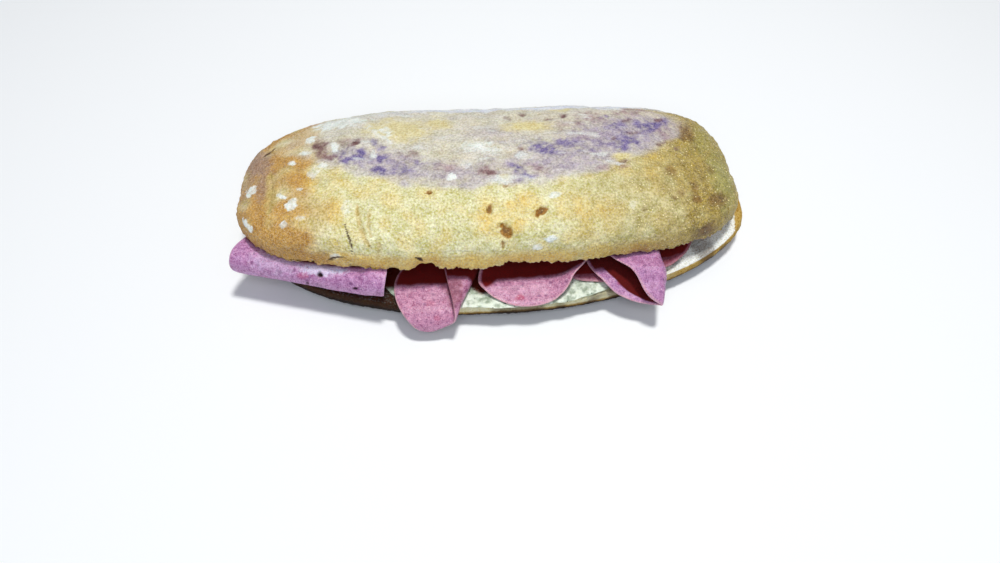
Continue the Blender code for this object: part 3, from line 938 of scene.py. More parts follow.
    ridges: tuple[Crack, ...] = (
        Crack((-65.7, 60.0), (-51.1, 44.2), 0.9, -1.3, 0.5),
        Crack((-63.0, 62.0), (-49.0, 47.0), 0.6, 1.0, 0.4),
    )


def noise_streaks(x: Array, y: Array) -> Array:
    """Unevenness drawn out along the loaf, as a dusted crown has it."""
    return 0.6 * plan_waves(x * 0.28, y, 5.0, 21.0) + 0.4 * plan_waves(x * 0.4, y, 2.4, 23.0)


class Skin:
    """The upper crust as it is looked at: its points, and the unevenness that its marks share."""

    def __init__(self, points: Array, normals: Array, share: Array) -> None:
        """Measure the plain dome.

        Args:
            points: its points.
            normals: its directions there.
            share: how far each point lies from the crown (0) to the rim (1).
        """
        self.points = points
        self.share = share
        self.x, self.y, self.z = points.T
        self.up = seen(self.y, self.z)
        self.back = normals[:, 1]
        self.front = smooth(4.0 * facing(normals))
        self.ragged = 0.4 * waves(points, 4.0, 0.3) + 0.35 * waves(points, 1.7, 0.7)
        self.blots = smooth(0.55 + 1.3 * waves(points, 3.2, 14.0) + 0.9 * waves(points, 1.5, 15.0))
        self.wander = 0.5 * waves(points, 2.6, 8.0)
        self.streaks = noise_streaks(self.x, self.y)
        self.dusted = 0.75 + 0.25 * smooth(0.5 + 1.6 * self.streaks)

    def laid(self, patches: Sequence[Patch], soft: float, ragged: float = 1.0) -> Array:
        """How far points on the shown side lie in any of the patches, with edges this soft and ragged."""
        return self.front * covered(patches, self.x, self.up, ragged * self.ragged, soft)

    def lined(self, cracks: Sequence[Crack], sharp: float) -> Array:
        """How far points on the shown side lie in any of the cracks, with edges this sharp."""
        reaches = [crack.reach(self.x, self.up, self.wander) for crack in cracks]
        return self.front * smooth(1.0 + sharp * (0.7 - np.min(reaches, axis=0)))


@dataclass(frozen=True)
class BreadTop:
    """Upper half of the loaf: a domed crust over a slightly hollow cut face, with a torn front rim.

    crown_fullness and crown_flatness are powers that make the dome fuller than a ball and flatter on
    top, and the spacings crowd its points together. The dust on the crown starts at crown_front, in a
    bow about crown_middle. The fields that end in _x, _y or _z say from where to where something sets
    in along that axis.
    """

    plan: Outline = Outline(-3.0, 6.0, 120.5, 119.5, 44.8, 58.0, 3.0, 2.5, 3.2, 4.2)
    crown_height: float = 28.0
    crown_turn: float = math.radians(97.0)
    crown_spacing: float = 0.9
    crown_fullness: float = 0.9
    crown_flatness: float = 0.8
    grid_spacing: float = 1.25
    cut_arch: float = 6.0
    cut_spacing: float = 1.6
    cut_arch_power: int = 6
    lump_height: float = 1.3
    lump_width: float = 34.0
    lump_fade: int = 6
    torn_depth: float = 1.5
    torn_width: float = 9.0
    torn_y: Span = (10.0, -10.0)
    torn_power: int = 12
    torn_pull: float = 45.0
    tears: tuple[Tear, ...] = (
        Tear(-38.6, 6.6, 2.0), Tear(-14.5, 7.0, -0.9), Tear(3.0, 8.0, 0.9), Tear(18.5, 2.2, -0.8),
        Tear(-70.0, 5.0, 0.5), Tear(-27.0, 3.0, -0.5),
    )
    marks: CrustMarks = CrustMarks()
    brown_left_x: Span = (-74.0, -100.0)
    brown_right_x: Span = (-6.0, 74.0)
    right_end_x: Span = (84.0, 106.0)
    crown_z: Span = (33.0, 39.0)
    crown_front: float = -14.0
    crown_middle: float = -8.0
    crown_bow: float = 0.0042
    columns: int = 370
    rows: int = 205
    cut_rings: int = 9

    def crust(self, angle: Array, share: Array) -> Place:
        """Work out points of the crust.

        Args:
            angle: directions from the plan's centre, in radians.
            share: 0 at the crown to 1 at the rim.

        Returns:
            The points' X, Y and Z.
        """
        turn = self.crown_turn * share ** self.crown_spacing
        rim_x, rim_y = self.plan.rim(angle)
        radial = np.abs(np.sin(turn)) ** self.crown_fullness
        x = self.plan.centre_x + rim_x * radial
        y = self.plan.centre_y + rim_y * radial
        rise = np.sign(np.cos(turn)) * np.abs(np.cos(turn)) ** self.crown_flatness
        rim_rise = -abs(math.cos(self.crown_turn)) ** self.crown_flatness
        height = self.crown_height * (rise - rim_rise) / (1.0 - rim_rise)
        lump = self.lump_height * plan_waves(x, y, self.lump_width, 1.4) * (1.0 - share ** self.lump_fade)
        tear = self.torn(x, y) * share ** self.torn_power
        x, y = self.plan.drawn_in(x, y, 1.0 - tear / self.torn_pull)
        return x, y, upper_cut(x, y) + height + lump + tear

    def torn(self, x: Array, y: Array) -> Array:
        """Work out how far the front rim is drawn up: by tears, finer tears, placed ones and shreds.

        Args:
            x: positions along the loaf.
            y: positions across it.

        Returns:
            Rises in millimetres.
        """
        coarse = np.abs(plan_waves(x, y, self.torn_width, 7.7))
        fine = np.abs(plan_waves(x, y, 0.45 * self.torn_width, 2.2))
        placed = sum(tear.rise(x) for tear in self.tears)
        shreds = 0.45 * plan_waves(x, y, 1.6, 13.0) + 0.45 * plan_waves(x, y, 0.9, 17.0)
        return ramp(y, *self.torn_y) * (0.7 * self.torn_depth * (coarse + 0.5 * fine) + placed + shreds)

    def cut(self, angle: Array, share: Array) -> Place:
        """Work out points of the cut face.

        Args:
            angle: directions from the plan's centre, in radians.
            share: 1 at the rim to 0 in the middle.

        Returns:
            The points' X, Y and Z.
        """
        rim_x, rim_y, rim_z = self.crust(angle, np.ones_like(angle))
        inset = 1.0 - (1.0 - share) ** self.cut_spacing
        x, y = self.plan.drawn_in(rim_x, rim_y, inset)
        arch = self.cut_arch * (1.0 - inset ** self.cut_arch_power)
        crumb = CRUMB_RELIEF * plan_waves(x, y, CRUMB_WIDTH, 5.9) * (1.0 - inset)
        edge = (rim_z - upper_cut(rim_x, rim_y)) * inset ** self.cut_arch_power
        return x, y, upper_cut(x, y) + arch + crumb + edge

    def build(self) -> bpy.types.Object:
        """Build and dress the upper half.

        Returns:
            The finished piece.
        """
        cage = Cage()
        disc_x, disc_y = cage.add_disc(self.columns, self.rows)
        angle = np.arctan2(disc_y, disc_x)
        share = np.minimum(np.hypot(disc_x, disc_y), 1.0) ** self.grid_spacing
        points = np.column_stack(self.crust(angle, share))
        cage.place(points)
        normals = cage.normals()
        if normals[np.argmax(points[:, 2]), 2] < 0.0:
            normals = -normals
        skin = Skin(points, normals, share)
        masks = self.masks(skin)
        cage.place(points + normals * self.relief(skin, masks)[:, None])
        for name, values in masks.items():
            cage.paint(name, np.clip(values, 0.0, 1.0))
        cage.paint("angle", angle)
        shares = [1.0 - step / self.cut_rings for step in range(1, self.cut_rings)]
        cage.grow_rings(shares, self.cut)
        cage.close_rim()
        return cage.finish("bread_top_crust", BakedCrust().build())

    def masks(self, skin: Skin) -> dict[str, Array]:
        """Find where each tint of the crust lies.

        Args:
            skin: the plain dome.

        Returns:
            The painted values by name.
        """
        left = smooth(progress(skin.x, *self.brown_left_x) + 0.3 * waves(skin.points, 12.0, 9.0))
        right = smooth(progress(skin.x, *self.brown_right_x) + 0.15 * waves(skin.points, 9.0, 5.0))
        bow = self.crown_bow * (skin.x - self.crown_middle) ** 2
        strays = 4.0 * waves(skin.points, 12.0, 2.0) + 1.6 * waves(skin.points, 4.0, 4.0)
        inland = skin.y - (self.crown_front + bow + strays)
        crown = ramp(inland, -3.0, 3.0) * ramp(skin.z, *self.crown_z)
        gaps = smooth(0.5 + 2.0 * waves(skin.points, 5.0, 24.0))
        shore = crown * np.exp(-((inland - 5.0) / 7.0) ** 2) * gaps
        lilac = crown * np.maximum(1.15 * skin.laid(self.marks.washes, 1.2), 0.6 * shore)
        dusted = skin.dusted * (1.0 - ramp(skin.x, *self.right_end_x))
        return self.flank_masks(skin, left, right) | self.mark_masks(skin) | {
            "crown": 0.9 * crown * (1.0 - 0.6 * left) * dusted,
            "lilac": lilac * (0.6 + 0.5 * skin.blots),
            "yellow": np.maximum(skin.laid(self.marks.yellow, 1.0), 0.3 * crown * left),
            # flour dust with a cool painted highlight on the back slope
            "dust_and_back_sheen": self.dust_and_back_sheen(skin),
            "flour": np.maximum(self.flour(skin), 0.5 * crown * ramp(skin.streaks, 0.22, 0.42)),
            "dull": crown + 0.3 * left,
            # where the painted highlights show
            "painted_gleam": (0.15 + 0.85 * right) * (1.0 - crown) * (1.0 - left),
        }

    def flank_masks(self, skin: Skin, left: Array, right: Array) -> dict[str, Array]:
        """Find where the broad tints of the front lie.

        Args:
            skin: the plain dome.
            left: how far the left end's browning reaches.
            right: how far the right part's tan does.

        Returns:
            The painted values by name.
        """
        low = ramp(skin.share, 0.76, 0.92) * smooth(1.1 + waves(skin.points, 7.0, 6.0))
        golds = skin.laid(self.marks.golds, 1.3) * (0.6 + 0.6 * skin.blots)
        sprawl = smooth(0.3 + 1.4 * waves(skin.points, 8.0, 16.0))
        blown = 0.8 + 1.1 * waves(skin.points, 9.0, 11.0)
        uneven = 0.5 + 0.25 * waves(skin.points, 5.0, 19.0)
        return {
            "golden": np.maximum(low, golds) + 0.42 * sprawl,
            "ochre": left * blown + 0.7 * low * ramp(skin.x, -50.0, -80.0),
            "tan": right * uneven + 0.6 * ramp(skin.x, 62.0, 102.0),
            "lip": ramp(skin.share, 0.988, 0.998) * ramp(skin.y, 12.0, 2.0),
        }

    def mark_masks(self, skin: Skin) -> dict[str, Array]:
        """Find where the placed marks lie.

        Args:
            skin: the plain dome.

        Returns:
            The painted values by name.
        """
        marks = self.marks
        cores = tuple(pit.core() for pit in marks.pits)
        return {
            "olive": skin.laid(marks.olive, 1.2),
            "taupe": skin.laid(marks.taupe, 1.3),
            "mauve": skin.laid(marks.mauves, 1.4, 1.5) * (0.3 + 0.8 * skin.blots),
            "purple": 1.2 * skin.laid(marks.stains, 1.5, 1.5) * (0.3 + 0.9 * skin.blots),
            "brown": skin.laid(marks.browned, 1.1),
            "scorch": skin.laid(marks.scorches, 1.1, 1.6) * (0.7 + 0.5 * skin.blots),
            "pit": skin.laid(marks.pits, 0.7, 1.6),
            # painted shade in the creases, cracks and pit cores, along with their carved relief
            "crease": 0.9 * skin.lined(marks.creases, 0.5) * (0.5 + 0.6 * skin.blots),
            "crack": np.maximum(skin.lined(marks.cracks, 1.0), 0.5 * skin.laid(cores, 0.9, 1.2)),
        }

    def flour(self, skin: Skin) -> Array:
        """How thickly flour lies in dabs and on the raised folds."""
        dabs = skin.laid(self.marks.flour, 0.6, 1.5) * (0.7 + 0.4 * skin.blots)
        return np.maximum(dabs, 0.7 * skin.blots * skin.lined(self.marks.ridges, 0.5))

    def dust_and_back_sheen(self, skin: Skin) -> Array:
        """Find the cool pale band of flour dust and painted highlight where the crust turns over to its
        back.

        Args:
            skin: the plain dome.

        Returns:
            0 outside it to 1.
        """
        back = skin.back + 0.06 * skin.streaks + 0.05 * waves(skin.points, 6.0, 33.0)
        band = ramp(back, 0.41, 0.51) * ramp(back, 0.86, 0.56) * skin.dusted
        middle = ramp(skin.x, -46.0, -36.0) * ramp(skin.x, 82.0, 70.0)
        return band * (0.55 + 0.45 * middle) * ramp(skin.x, -98.0, -84.0) * ramp(skin.x, 104.0, 90.0)

    def relief(self, skin: Skin, masks: dict[str, Array]) -> Array:
        """Work out how far the crust stands out from the plain dome.

        Args:
            skin: the plain dome.
            masks: the painted values.

        Returns:
            Heights in millimetres.
        """
        swell = 0.65 * waves(skin.points, 13.0, 1.0) + 0.42 * waves(skin.points, 6.0, 3.0)
        blisters = 0.34 * ridges(skin.points, 2.9, 5.0) + 0.2 * ridges(skin.points, 1.6, 7.0)
        ripples = 0.35 * masks["crown"] * skin.streaks
        pits = 1.2 * masks["pit"] + 0.3 * masks["scorch"] + 0.4 * masks["brown"]
        height = swell + (1.0 - 0.5 * masks["crown"]) * blisters - pits + 0.16 * masks["flour"] + ripples
        for sign, lines in ((-1.0, self.marks.cracks + self.marks.creases), (1.0, self.marks.ridges)):
            for line in lines:
                height += sign * line.depth * np.exp(-line.reach(skin.x, skin.up, skin.wander) ** 2)
        return height


def gap_shade(points: Array) -> Array:
    """Find where painted shade lies, in the gap under the upper half's front rim.

    The painted shade starts a little in front of the rim for what lies low, under the rim for what
    reaches up to it, and further out in the nook between the tongue and the trough.

    Args:
        points: one point a row.

    Returns:
        0 unshaded to 1 in full painted shade.
    """
    x, y, z = points.T
    plan = BreadTop().plan
    reach = np.where(x > plan.centre_x, plan.right, plan.left)
    power = np.where(x > plan.centre_x, plan.power_front_right, plan.power_front_left)
    share = np.clip(np.abs(x - plan.centre_x) / reach, 0.0, 1.0)
    rim_y = plan.centre_y - plan.front * (1.0 - share ** power) ** (1.0 / power)
    nook = 5.0 * np.exp(-((x + 13.0) / 5.0) ** 2)
    start = 1.6 - 0.14 * np.maximum(z - 14.0, 0.0) + nook + 0.8 * plan_waves(x, y, 4.0, 41.0)
    return ramp(y - rim_y + start, 0.0, 2.4)


@dataclass(frozen=True)
class BreadBottom:
    """Lower half of the loaf: a nearly level cut face, a rounded side crust and a flat base.

    The fields that end in _x or _y say from where to where something sets in along that axis.
    """

    plan: Outline = Outline(1.0, 2.0, 120.0, 122.0, 53.0, 52.5, 2.1, 1.85, 3.0, 3.4)
    side_turn: float = math.radians(108.0)
    side_bend: float = 12.0
    right_extra: float = 9.0
    lump_height: float = 0.6
    lump_width: float = 20.4
    under_roll_x: Span = (-40.0, -52.0)
    under_roll_y: Span = (-12.0, -22.0)
    right_end_x: Span = (92.0, 110.0)
    columns: int = 250
    rows: int = 110
    side_rings: int = 26
    base_shares: tuple[float, ...] = (0.8, 0.5, 0.2)

    def bend(self, angle: Array) -> Array:
        """How far the side curves in to the flat base, more at the right end."""
        return self.side_bend + self.right_extra * np.maximum(np.cos(angle), 0.0) ** 3

    def side(self, angle: Array, turn: Array) -> Place:
        """Work out points of the side crust.

        Args:
            angle: directions from the plan's centre, in radians.
            turn: how far the side has turned up, from 0 at the flat base to side_turn at the rim.

        Returns:
            The points' X, Y and Z.
        """
        rim_x, rim_y = self.plan.rim(angle)
        reach = np.hypot(rim_x, rim_y)
        inset = self.bend(angle) * (1.0 - np.sin(turn))
        x = self.plan.centre_x + rim_x * (1.0 - inset / reach)
        y = self.plan.centre_y + rim_y * (1.0 - inset / reach)
        height = lower_cut(x, y)
        lump = self.lump_height * plan_waves(x, y, self.lump_width, 8.3) * np.sin(turn) ** 2
        x, y = self.plan.drawn_in(x, y, 1.0 - lump / reach)
        return x, y, height * (1.0 - np.cos(turn)) / (1.0 - math.cos(self.side_turn))

    def below(self, angle: Array, share: Array) -> Place:
        """Points past the rim: down the side for a share of 1 to 2, then in over the base up to 3."""
        x, y, z = self.side(angle, self.side_turn * np.clip(2.0 - share, 0.0, 1.0))
        return *self.plan.drawn_in(x, y, np.clip(3.0 - share, 0.0, 1.0)), z

    def build(self) -> bpy.types.Object:
        """Build and dress the lower half.

        Returns:
            The finished piece.
        """
        cage = Cage()
        disc_x, disc_y = cage.add_disc(self.columns, self.rows)
        angle = np.arctan2(disc_y, disc_x)
        share = np.minimum(np.hypot(disc_x, disc_y), 1.0)
        rim_x, rim_y, _ = self.side(angle, np.full_like(angle, self.side_turn))
        x, y = self.plan.drawn_in(rim_x, rim_y, share)
        cage.place(np.column_stack((x, y, lower_cut(x, y))))
        cage.paint("angle", angle)
        steps = [1.0 + step / self.side_rings for step in range(1, self.side_rings + 1)]
        cage.grow_rings(steps + [3.0 - base for base in self.base_shares], self.below)
        cage.close_rim()
        self.dress(cage)
        return cage.finish("bread_bottom_loaf", CutLoaf().build())

    def dress(self, cage: Cage) -> None:
        """Give the crumb its pores and the crust its blisters, and paint where each lies.

        Args:
            cage: the closed mesh.
        """
        points = cage.points()
        normals = cage.normals()
        x, y, z = points.T
        rim_x, rim_y = self.plan.rim(np.arctan2(y - self.plan.centre_y, x - self.plan.centre_x))
        inward = np.hypot(rim_x, rim_y) - np.hypot(x - self.plan.centre_x, y - self.plan.centre_y)
        on_cut = ramp(z - lower_cut(x, y), -0.4, -0.1)
        under_roll = ramp(x, *self.under_roll_x) * ramp(y, *self.under_roll_y)
        right_end = ramp(x, *self.right_end_x)
        rind = 0.7 + 6.0 * under_roll + 4.6 * right_end + 0.8 * waves(points, 5.0, 18.0)
        crumb = on_cut * ramp(inward - rind, 0.0, 0.9)
        blisters = 0.3 * ridges(points, 3.0, 2.0) + 0.18 * ridges(points, 1.5, 4.0)
        pores = 0.15 - 0.5 * ramp(waves(points, 2.2, 6.0), 0.12, 0.42) - 0.3 * ridges(points, 1.4, 9.0)
        relief = np.where(crumb > 0.5, pores, blisters) * ramp(z, 0.0, 1.5)
        cage.place(points + normals * relief[:, None])
        front_middle = ramp(x, -58.0, -52.0) * ramp(x, 84.0, 64.0) * ramp(y, -20.0, -30.0)
        ragged = waves(points, 8.0, 12.0)
        low = ramp(z - 1.2 * ragged, 10.2, 6.6)
        front = ramp(y, -6.0, -28.0)
        masks = {
            "crust": 1.0 - crumb,
            # less toasted tint at the right end: painted light where the upper half's shadow falls on the
            # crumb
            "toasted": on_cut * ramp(inward - rind, 3.0, 0.0) * (0.7 - 0.4 * right_end),
            "cream": front_middle * ramp(z, 8.5, 10.0),
            "baked": 0.9 * low + 0.3 * ragged,
            # brown and base: painted shade under the roll, in ragged patches on the front and near black
            # low on it
            "brown": np.clip(under_roll + 0.6 * front * smooth(0.4 + 2.0 * ragged), 0.0, 1.0),
            "base": low * front,
            # painted shade on the cut face under the upper half's rim
            "painted_shade": on_cut * ramp(x, 78.0, 68.0) * ramp(x, -112.0, -102.0) * gap_shade(points),
        }
        for name, values in masks.items():
            cage.paint(name, values)


@dataclass(frozen=True)
class CheeseSpread:
    """The white spread: a thin lumpy layer on the lower half that reaches the front rim."""

    plan: Outline = Outline(-2.0, -14.0, 60.0, 60.0, 37.3, 34.0, 3.2, 3.2, 2.4, 2.4)
    thickness: float = SPREAD_THICKNESS
    edge_power: int = 24
    columns: int = 120
    rows: int = 70

    def build(self) -> bpy.types.Object:
        """Build and dress the spread.

        Returns:
            The finished piece.
        """
        cage = Cage()
        discs = [cage.add_disc(self.columns, self.rows) for _ in range(2)]
        disc_x, disc_y = np.concatenate(discs, axis=1)
        above = np.repeat([1.0, 0.0], cage.counts)
        rim_x, rim_y = self.plan.rim(np.arctan2(disc_y, disc_x))
        share = np.minimum(np.hypot(disc_x, disc_y), 1.0)
        strays = 0.035 * plan_waves(rim_x, rim_y, 14.0, 4.4) + 0.012 * plan_waves(rim_x, rim_y, 4.0, 5.0)
        x = self.plan.centre_x + rim_x * share * (1.0 + strays)
        y = self.plan.centre_y + rim_y * share * (1.0 + strays)
        lumps = above * (0.3 * plan_waves(x, y, 6.0, 31.0) + 0.12 * plan_waves(x, y, 2.5, 33.0))
        level = 0.5 + (above - 0.5) * np.sqrt(1.0 - share ** self.edge_power) * (1.0 + lumps)
        points = np.column_stack((x, y, lower_cut(x, y) + CLEARANCE + self.thickness * level))
        cage.place(points)
        # painted shade where the spread lies under the upper half's rim
        cage.paint("painted_shade", gap_shade(points))
        cage.join_doubles()
        return cage.finish("cheese_spread", SoftSpread().build())


@dataclass(frozen=True)
class Slice:
    """A slice of salami: flat on the spread or on other slices, unless its class folds it.

    half_across and half_along are its half-widths across and along its fold, middle_across says how
    far its middle lies from the fold's line, lean slants its oval and taper narrows its front end,
    upper_taper that of its right side alone. start_x and start_y are where the middle of the fold's
    line lies, turn is the line's direction in the plan and layers counts the slices under it. shade
    is how much dark red painted shade the whole slice at least has, and edge_power how square its rim
    is. Some of its patches lay painted highlight and painted shade, and its holes are painted dark.
    """

    node: str
    half_across: float
    half_along: float
    start_x: float
    start_y: float
    middle_across: float = 0.0
    lean: float = 0.0
    taper: float = 0.0
    upper_taper: float = 0.0
    turn: float = 0.0
    layers: float = 0.0
    shade: float = 0.0
    edge_power: int = 30
    holes: Patches = ()
    blushes: Patches = ()
    painted_sheens: Patches = ()
    shade_patches: Patches = ()
    meat: CuredMeat = CuredMeat()
    columns: int = 170
    rows: int = 150

    def spot(self, across: Array, along: Array) -> tuple[Array, Array]:
        """Plan positions of points so far across and along the fold's line, which points to the front."""
        sine, cosine = math.sin(self.turn), math.cos(self.turn)
        return self.start_x + across * cosine - along * sine, self.start_y - across * sine - along * cosine

    def lie(self, across: Array, along: Array) -> Place:
        """Where the middle of the slice's thickness lies, so far across and along the fold on its sheet."""
        x, y = self.spot(across, along)
        return x, y, bed(x, y, self.layers)

    def fold_shade(self, across: Array, along: Array) -> Array:
        """How far points lie in the painted shade of the slice's own fold, 0 to 1: a flat slice has none.
        """
        return np.zeros_like(across + along)

    def sheet(self, disc_x: Array, disc_y: Array, share: Array) -> tuple[Array, Array]:
        """Cut the flat sheet with its slightly wavy rim.

        Args:
            disc_x: places on the unit disc across the fold.
            disc_y: places on it along the fold.
            share: 0 in the middle to 1 at the rim.

        Returns:
            Distances across and along the fold's line.
        """
        angle = np.arctan2(disc_y, disc_x)
        wavy = 1.0 + 0.012 * plan_waves(np.cos(angle), np.sin(angle), 0.35, self.start_x) * share ** 3
        taper = self.taper + self.upper_taper * ramp(disc_x, 0.0, 0.25)
        narrowing = 1.0 - taper * np.maximum(disc_y, 0.0) ** 2
        across = self.middle_across + self.half_across * disc_x * narrowing * wavy
        return across, self.half_along * disc_y * wavy + self.lean * disc_x

    def middle(self, across: Array, along: Array) -> tuple[Array, Array]:
        """Lay the sheet, with the faint unevenness of soft meat.

        Args:
            across: distances across the fold's line.
            along: distances along it.

        Returns:
            Points of the middle of the slice's thickness, and the sheet's directions there.
        """
        points = np.column_stack(self.lie(across, along))
        one = np.column_stack(self.lie(across + SHEET_STEP, along)) - points
        other = np.column_stack(self.lie(across, along + SHEET_STEP)) - points
        normals = np.cross(one, other)
        normals /= np.linalg.norm(normals, axis=1)[:, None]
        uneven = 0.18 * waves(points, 8.0, 2.0) + 0.05 * waves(points, 2.5, 3.0)
        return points + normals * uneven[:, None], normals

    def build(self) -> bpy.types.Object:
        """Build and dress the slice.

        Returns:
            The finished piece.
        """
        cage = Cage()
        disc_x, disc_y = cage.add_disc(self.columns, self.rows)
        cage.add_disc(self.columns, self.rows)
        share = np.minimum(np.hypot(disc_x, disc_y), 1.0)
        across, along = self.sheet(disc_x, disc_y, share)
        points, normals = self.middle(across, along)
        half = 0.5 * SLICE_THICKNESS * np.sqrt(1.0 - share ** self.edge_power)
        pores = 0.14 * ramp(waves(points, 1.7, 5.0), 0.25, 0.55) * smooth(12.0 * (1.0 - share))
        offsets = normals * (half - pores)[:, None]
        both = np.concatenate((points + offsets, points - offsets))
        outward = np.concatenate((normals, -normals))
        shown = smooth(6.0 * facing(outward))
        up = seen(both[:, 1], both[:, 2])
        ragged = 0.5 * waves(both, 1.6, 6.0)
        # holes, blush, painted highlight and painted shade, laid on the shown side
        hole_and_shade, blush, painted_sheen, patch_shade = (
            shown * covered(patches, both[:, 0], up, ragged, 0.7)
            for patches in (self.holes, self.blushes, self.painted_sheens, self.shade_patches)
        )
        cage.place(both - outward * hole_and_shade[:, None])
        # Painted shade: under the upper half, over the whole slice as far as its shade says, in its own
        # fold and in its patches of painted shade; its rim stays lighter.
        painted_shade = np.maximum(np.maximum(gap_shade(both), self.shade), np.tile(self.fold_shade(across, along), 2))
        rim = np.tile(share, 2)
        lit_rim = (0.6 - 0.4 * self.shade) * ramp(rim, 0.95, 0.98)
        masks = {
            "rim": rim,
            "hole_and_shade": hole_and_shade,
            "blush": blush,
            "painted_sheen": painted_sheen,
            "painted_shade": np.maximum(painted_shade * (1.0 - lit_rim), patch_shade),
        }
        for name, values in masks.items():
            cage.paint(name, values)
        cage.join_doubles()
        return cage.finish(f"{self.node}_slice", self.meat.build())


@dataclass(frozen=True)
class RolledSlice(Slice):
    """A slice folded in half with its bend to the front, along the left part of the front rim.

    advance is how far before the fold's line the bend starts, opening how much further than a half
    turn it goes, and climb_x where the slice climbs onto the spread.
    """

    radius: float = 6.1
    advance: float = 8.0
    opening: float = 0.12
    climb_x: Span = (-68.0, -61.0)

    def lie(self, across: Array, along: Array) -> Place:
        """Fold it in half, standing on the crumb and on the spread.

        Args:
            across: distances across the fold's line, along the sheet.
            along: distances along it.

        Returns:
            The points' X, Y and Z.
        """
        forward, height = hairpin(across + self.advance, self.radius, self.opening)
        x, y = self.spot(forward, -along)
        base = lower_cut(x, y) + CLEARANCE + 0.5 * SLICE_THICKNESS
        return x, y, base + (SPREAD_THICKNESS + CLEARANCE) * ramp(x, *self.climb_x) + height


@dataclass(frozen=True)
class TroughSlice(Slice):
    """A slice in a shallow trough with its front rim just over the edge.

    flat is how far it stays flat to each side of its line. The right side curls up with radius; the
    left with left_radius, which grows by left_opening over opens_along. shift moves it to the right
    over shift_y, ceiling is what its sides curl up to, and climb_y is where it climbs onto a layer.
    """

    radius: float = 18.0
    flat: float = 8.0
    left_radius: float = 6.0
    left_opening: float = 54.0
    opens_along: Span = (5.0, 22.0)
    shift: float = 6.5
    shift_y: Span = (-43.0, -31.0)
    ceiling: float = 9.5
    ceiling_y: float = -40.0
    ceiling_slope: float = 0.06
    climb_y: Span = (-48.0, -42.0)

    def lie(self, across: Array, along: Array) -> Place:
        """Curl up both sides.

        Args:
            across: distances across the fold's line, along the sheet.
            along: distances along it.

        Returns:
            The points' X, Y and Z.
        """
        left = self.left_radius + self.left_opening * ramp(along, *self.opens_along)
        sideways, rise = hairpin(np.abs(across) - self.flat, np.where(across > 0.0, self.radius, left))
        x, y = self.spot(np.copysign(sideways + self.flat, across), along)
        x = x + self.shift * ramp(y, *self.shift_y)
        ceiling = self.ceiling - self.ceiling_slope * (y - self.ceiling_y)
        height = ceiling * np.tanh(rise / ceiling)
        return over_edge(x, y, height, self.layers * ramp(y, *self.climb_y))


@dataclass(frozen=True)
class FoldedSlice(Slice):
    """A slice whose right side is folded over its middle, about a line from front to back.

    The bend's radius grows by growth, swells by swell and tightens again by tightening, at these
    places along its line. climb_y is where the slice climbs onto the others, and pocket how wide a
    strip beside the upper leaf's rim gets painted shade for the fold.
    """

    radius: float = 2.4
    growth: float = 0.0
    growth_along: Span = (-25.0, -5.0)
    swell: float = 0.0
    swell_along: float = 22.0
    swell_width: float = 7.0
    tightening: float = 0.0
    tightening_along: Span = (24.0, 33.0)
    climb_y: Span = (-50.0, -42.0)
    pocket: float = 0.0
    pocket_edge: float = 1.2

    def lie(self, across: Array, along: Array) -> Place:
        """Fold it, and bend what reaches past the rim down over it.

        Args:
            across: distances across the fold's line, along the sheet.
            along: distances along it.

        Returns:
            The points' X, Y and Z.
        """
        radius = self.radius + self.growth * ramp(along, *self.growth_along)
        radius = radius + self.swell * np.exp(-((along - self.swell_along) / self.swell_width) ** 2)
        radius = radius - self.tightening * ramp(along, *self.tightening_along)
        sideways, height = hairpin(across, radius)
        x, y = self.spot(sideways, along)
        return over_edge(x, y, height, self.layers * ramp(y, *self.climb_y))

    def fold_shade(self, across: Array, along: Array) -> Array:
        """Find where painted shade lies on the lower leaf, beside the upper leaf's rim.

        Args:
            across: distances across the fold's line, along the sheet.
            along: distances along it.

        Returns:
            0 unshaded to 1 in full painted shade.
        """
        front = np.clip(along / self.half_along, -1.0, 1.0)
        narrowing = 1.0 - (self.taper + self.upper_taper) * np.maximum(front, 0.0) ** 2
        rim = self.middle_across + self.half_across * np.sqrt(1.0 - front ** 2) * narrowing
        edge = math.pi * self.radius - rim - self.pocket
        lower_leaf = (self.pocket > 0.0) & (across < 1.5 * self.radius)
        return ramp(across - edge, 0.0, self.pocket_edge) * lower_leaf


def hairpin(across: Array, radius: Array | float, opening: float = 0.0) -> tuple[Array, Array]:
    """Work out the cross-section of a fold: flat up to 0, once round a bend, then back above itself.

    Args:
        across: distance along the sheet, from where the bend starts.
        radius: the bend's radius.
        opening: how much further than a half turn it bends.

    Returns:
        Sideways position and height.
    """
    last = math.pi + opening
    turn = np.clip(across / radius, 0.0, last)
    rest = np.maximum(across - last * radius, 0.0)
    side = radius * np.sin(turn) + rest * math.cos(last)
    height = radius * (1.0 - np.cos(turn)) + rest * math.sin(last)
    return np.where(across <= 0.0, across, side), np.where(across <= 0.0, 0.0, height)


def bed(x: Array, y: Array, layers: Array | float) -> Array:
    """Height of the middle of a slice that lies on the spread with so many slices under it."""
    spread_top = lower_cut(x, np.maximum(y, FRONT_EDGE_Y)) + CLEARANCE + SPREAD_THICKNESS
    return spread_top + CLEARANCE + 0.5 * SLICE_THICKNESS + LAYER * layers


def over_edge(x: Array, y: Array, height: Array, layers: Array | float) -> Place:
    """Lay a slice down, and bend what reaches past the front edge down over it.

    Args:
        x: positions along the loaf.
        y: positions across it before the bend.
        height: heights above the slice's lowest sheet.
        layers: how many slices lie under it.

    Returns:
        The points' X, Y and Z.
    """
    turn = np.minimum(np.maximum(FRONT_EDGE_Y - y, 0.0) / EDGE_BEND, LAST_TURN)
    outer = EDGE_BEND + height
    bent_y = np.maximum(y, FRONT_EDGE_Y) - outer * np.sin(turn)
    return x, bent_y, bed(x, y, layers) + outer * np.cos(turn) - EDGE_BEND


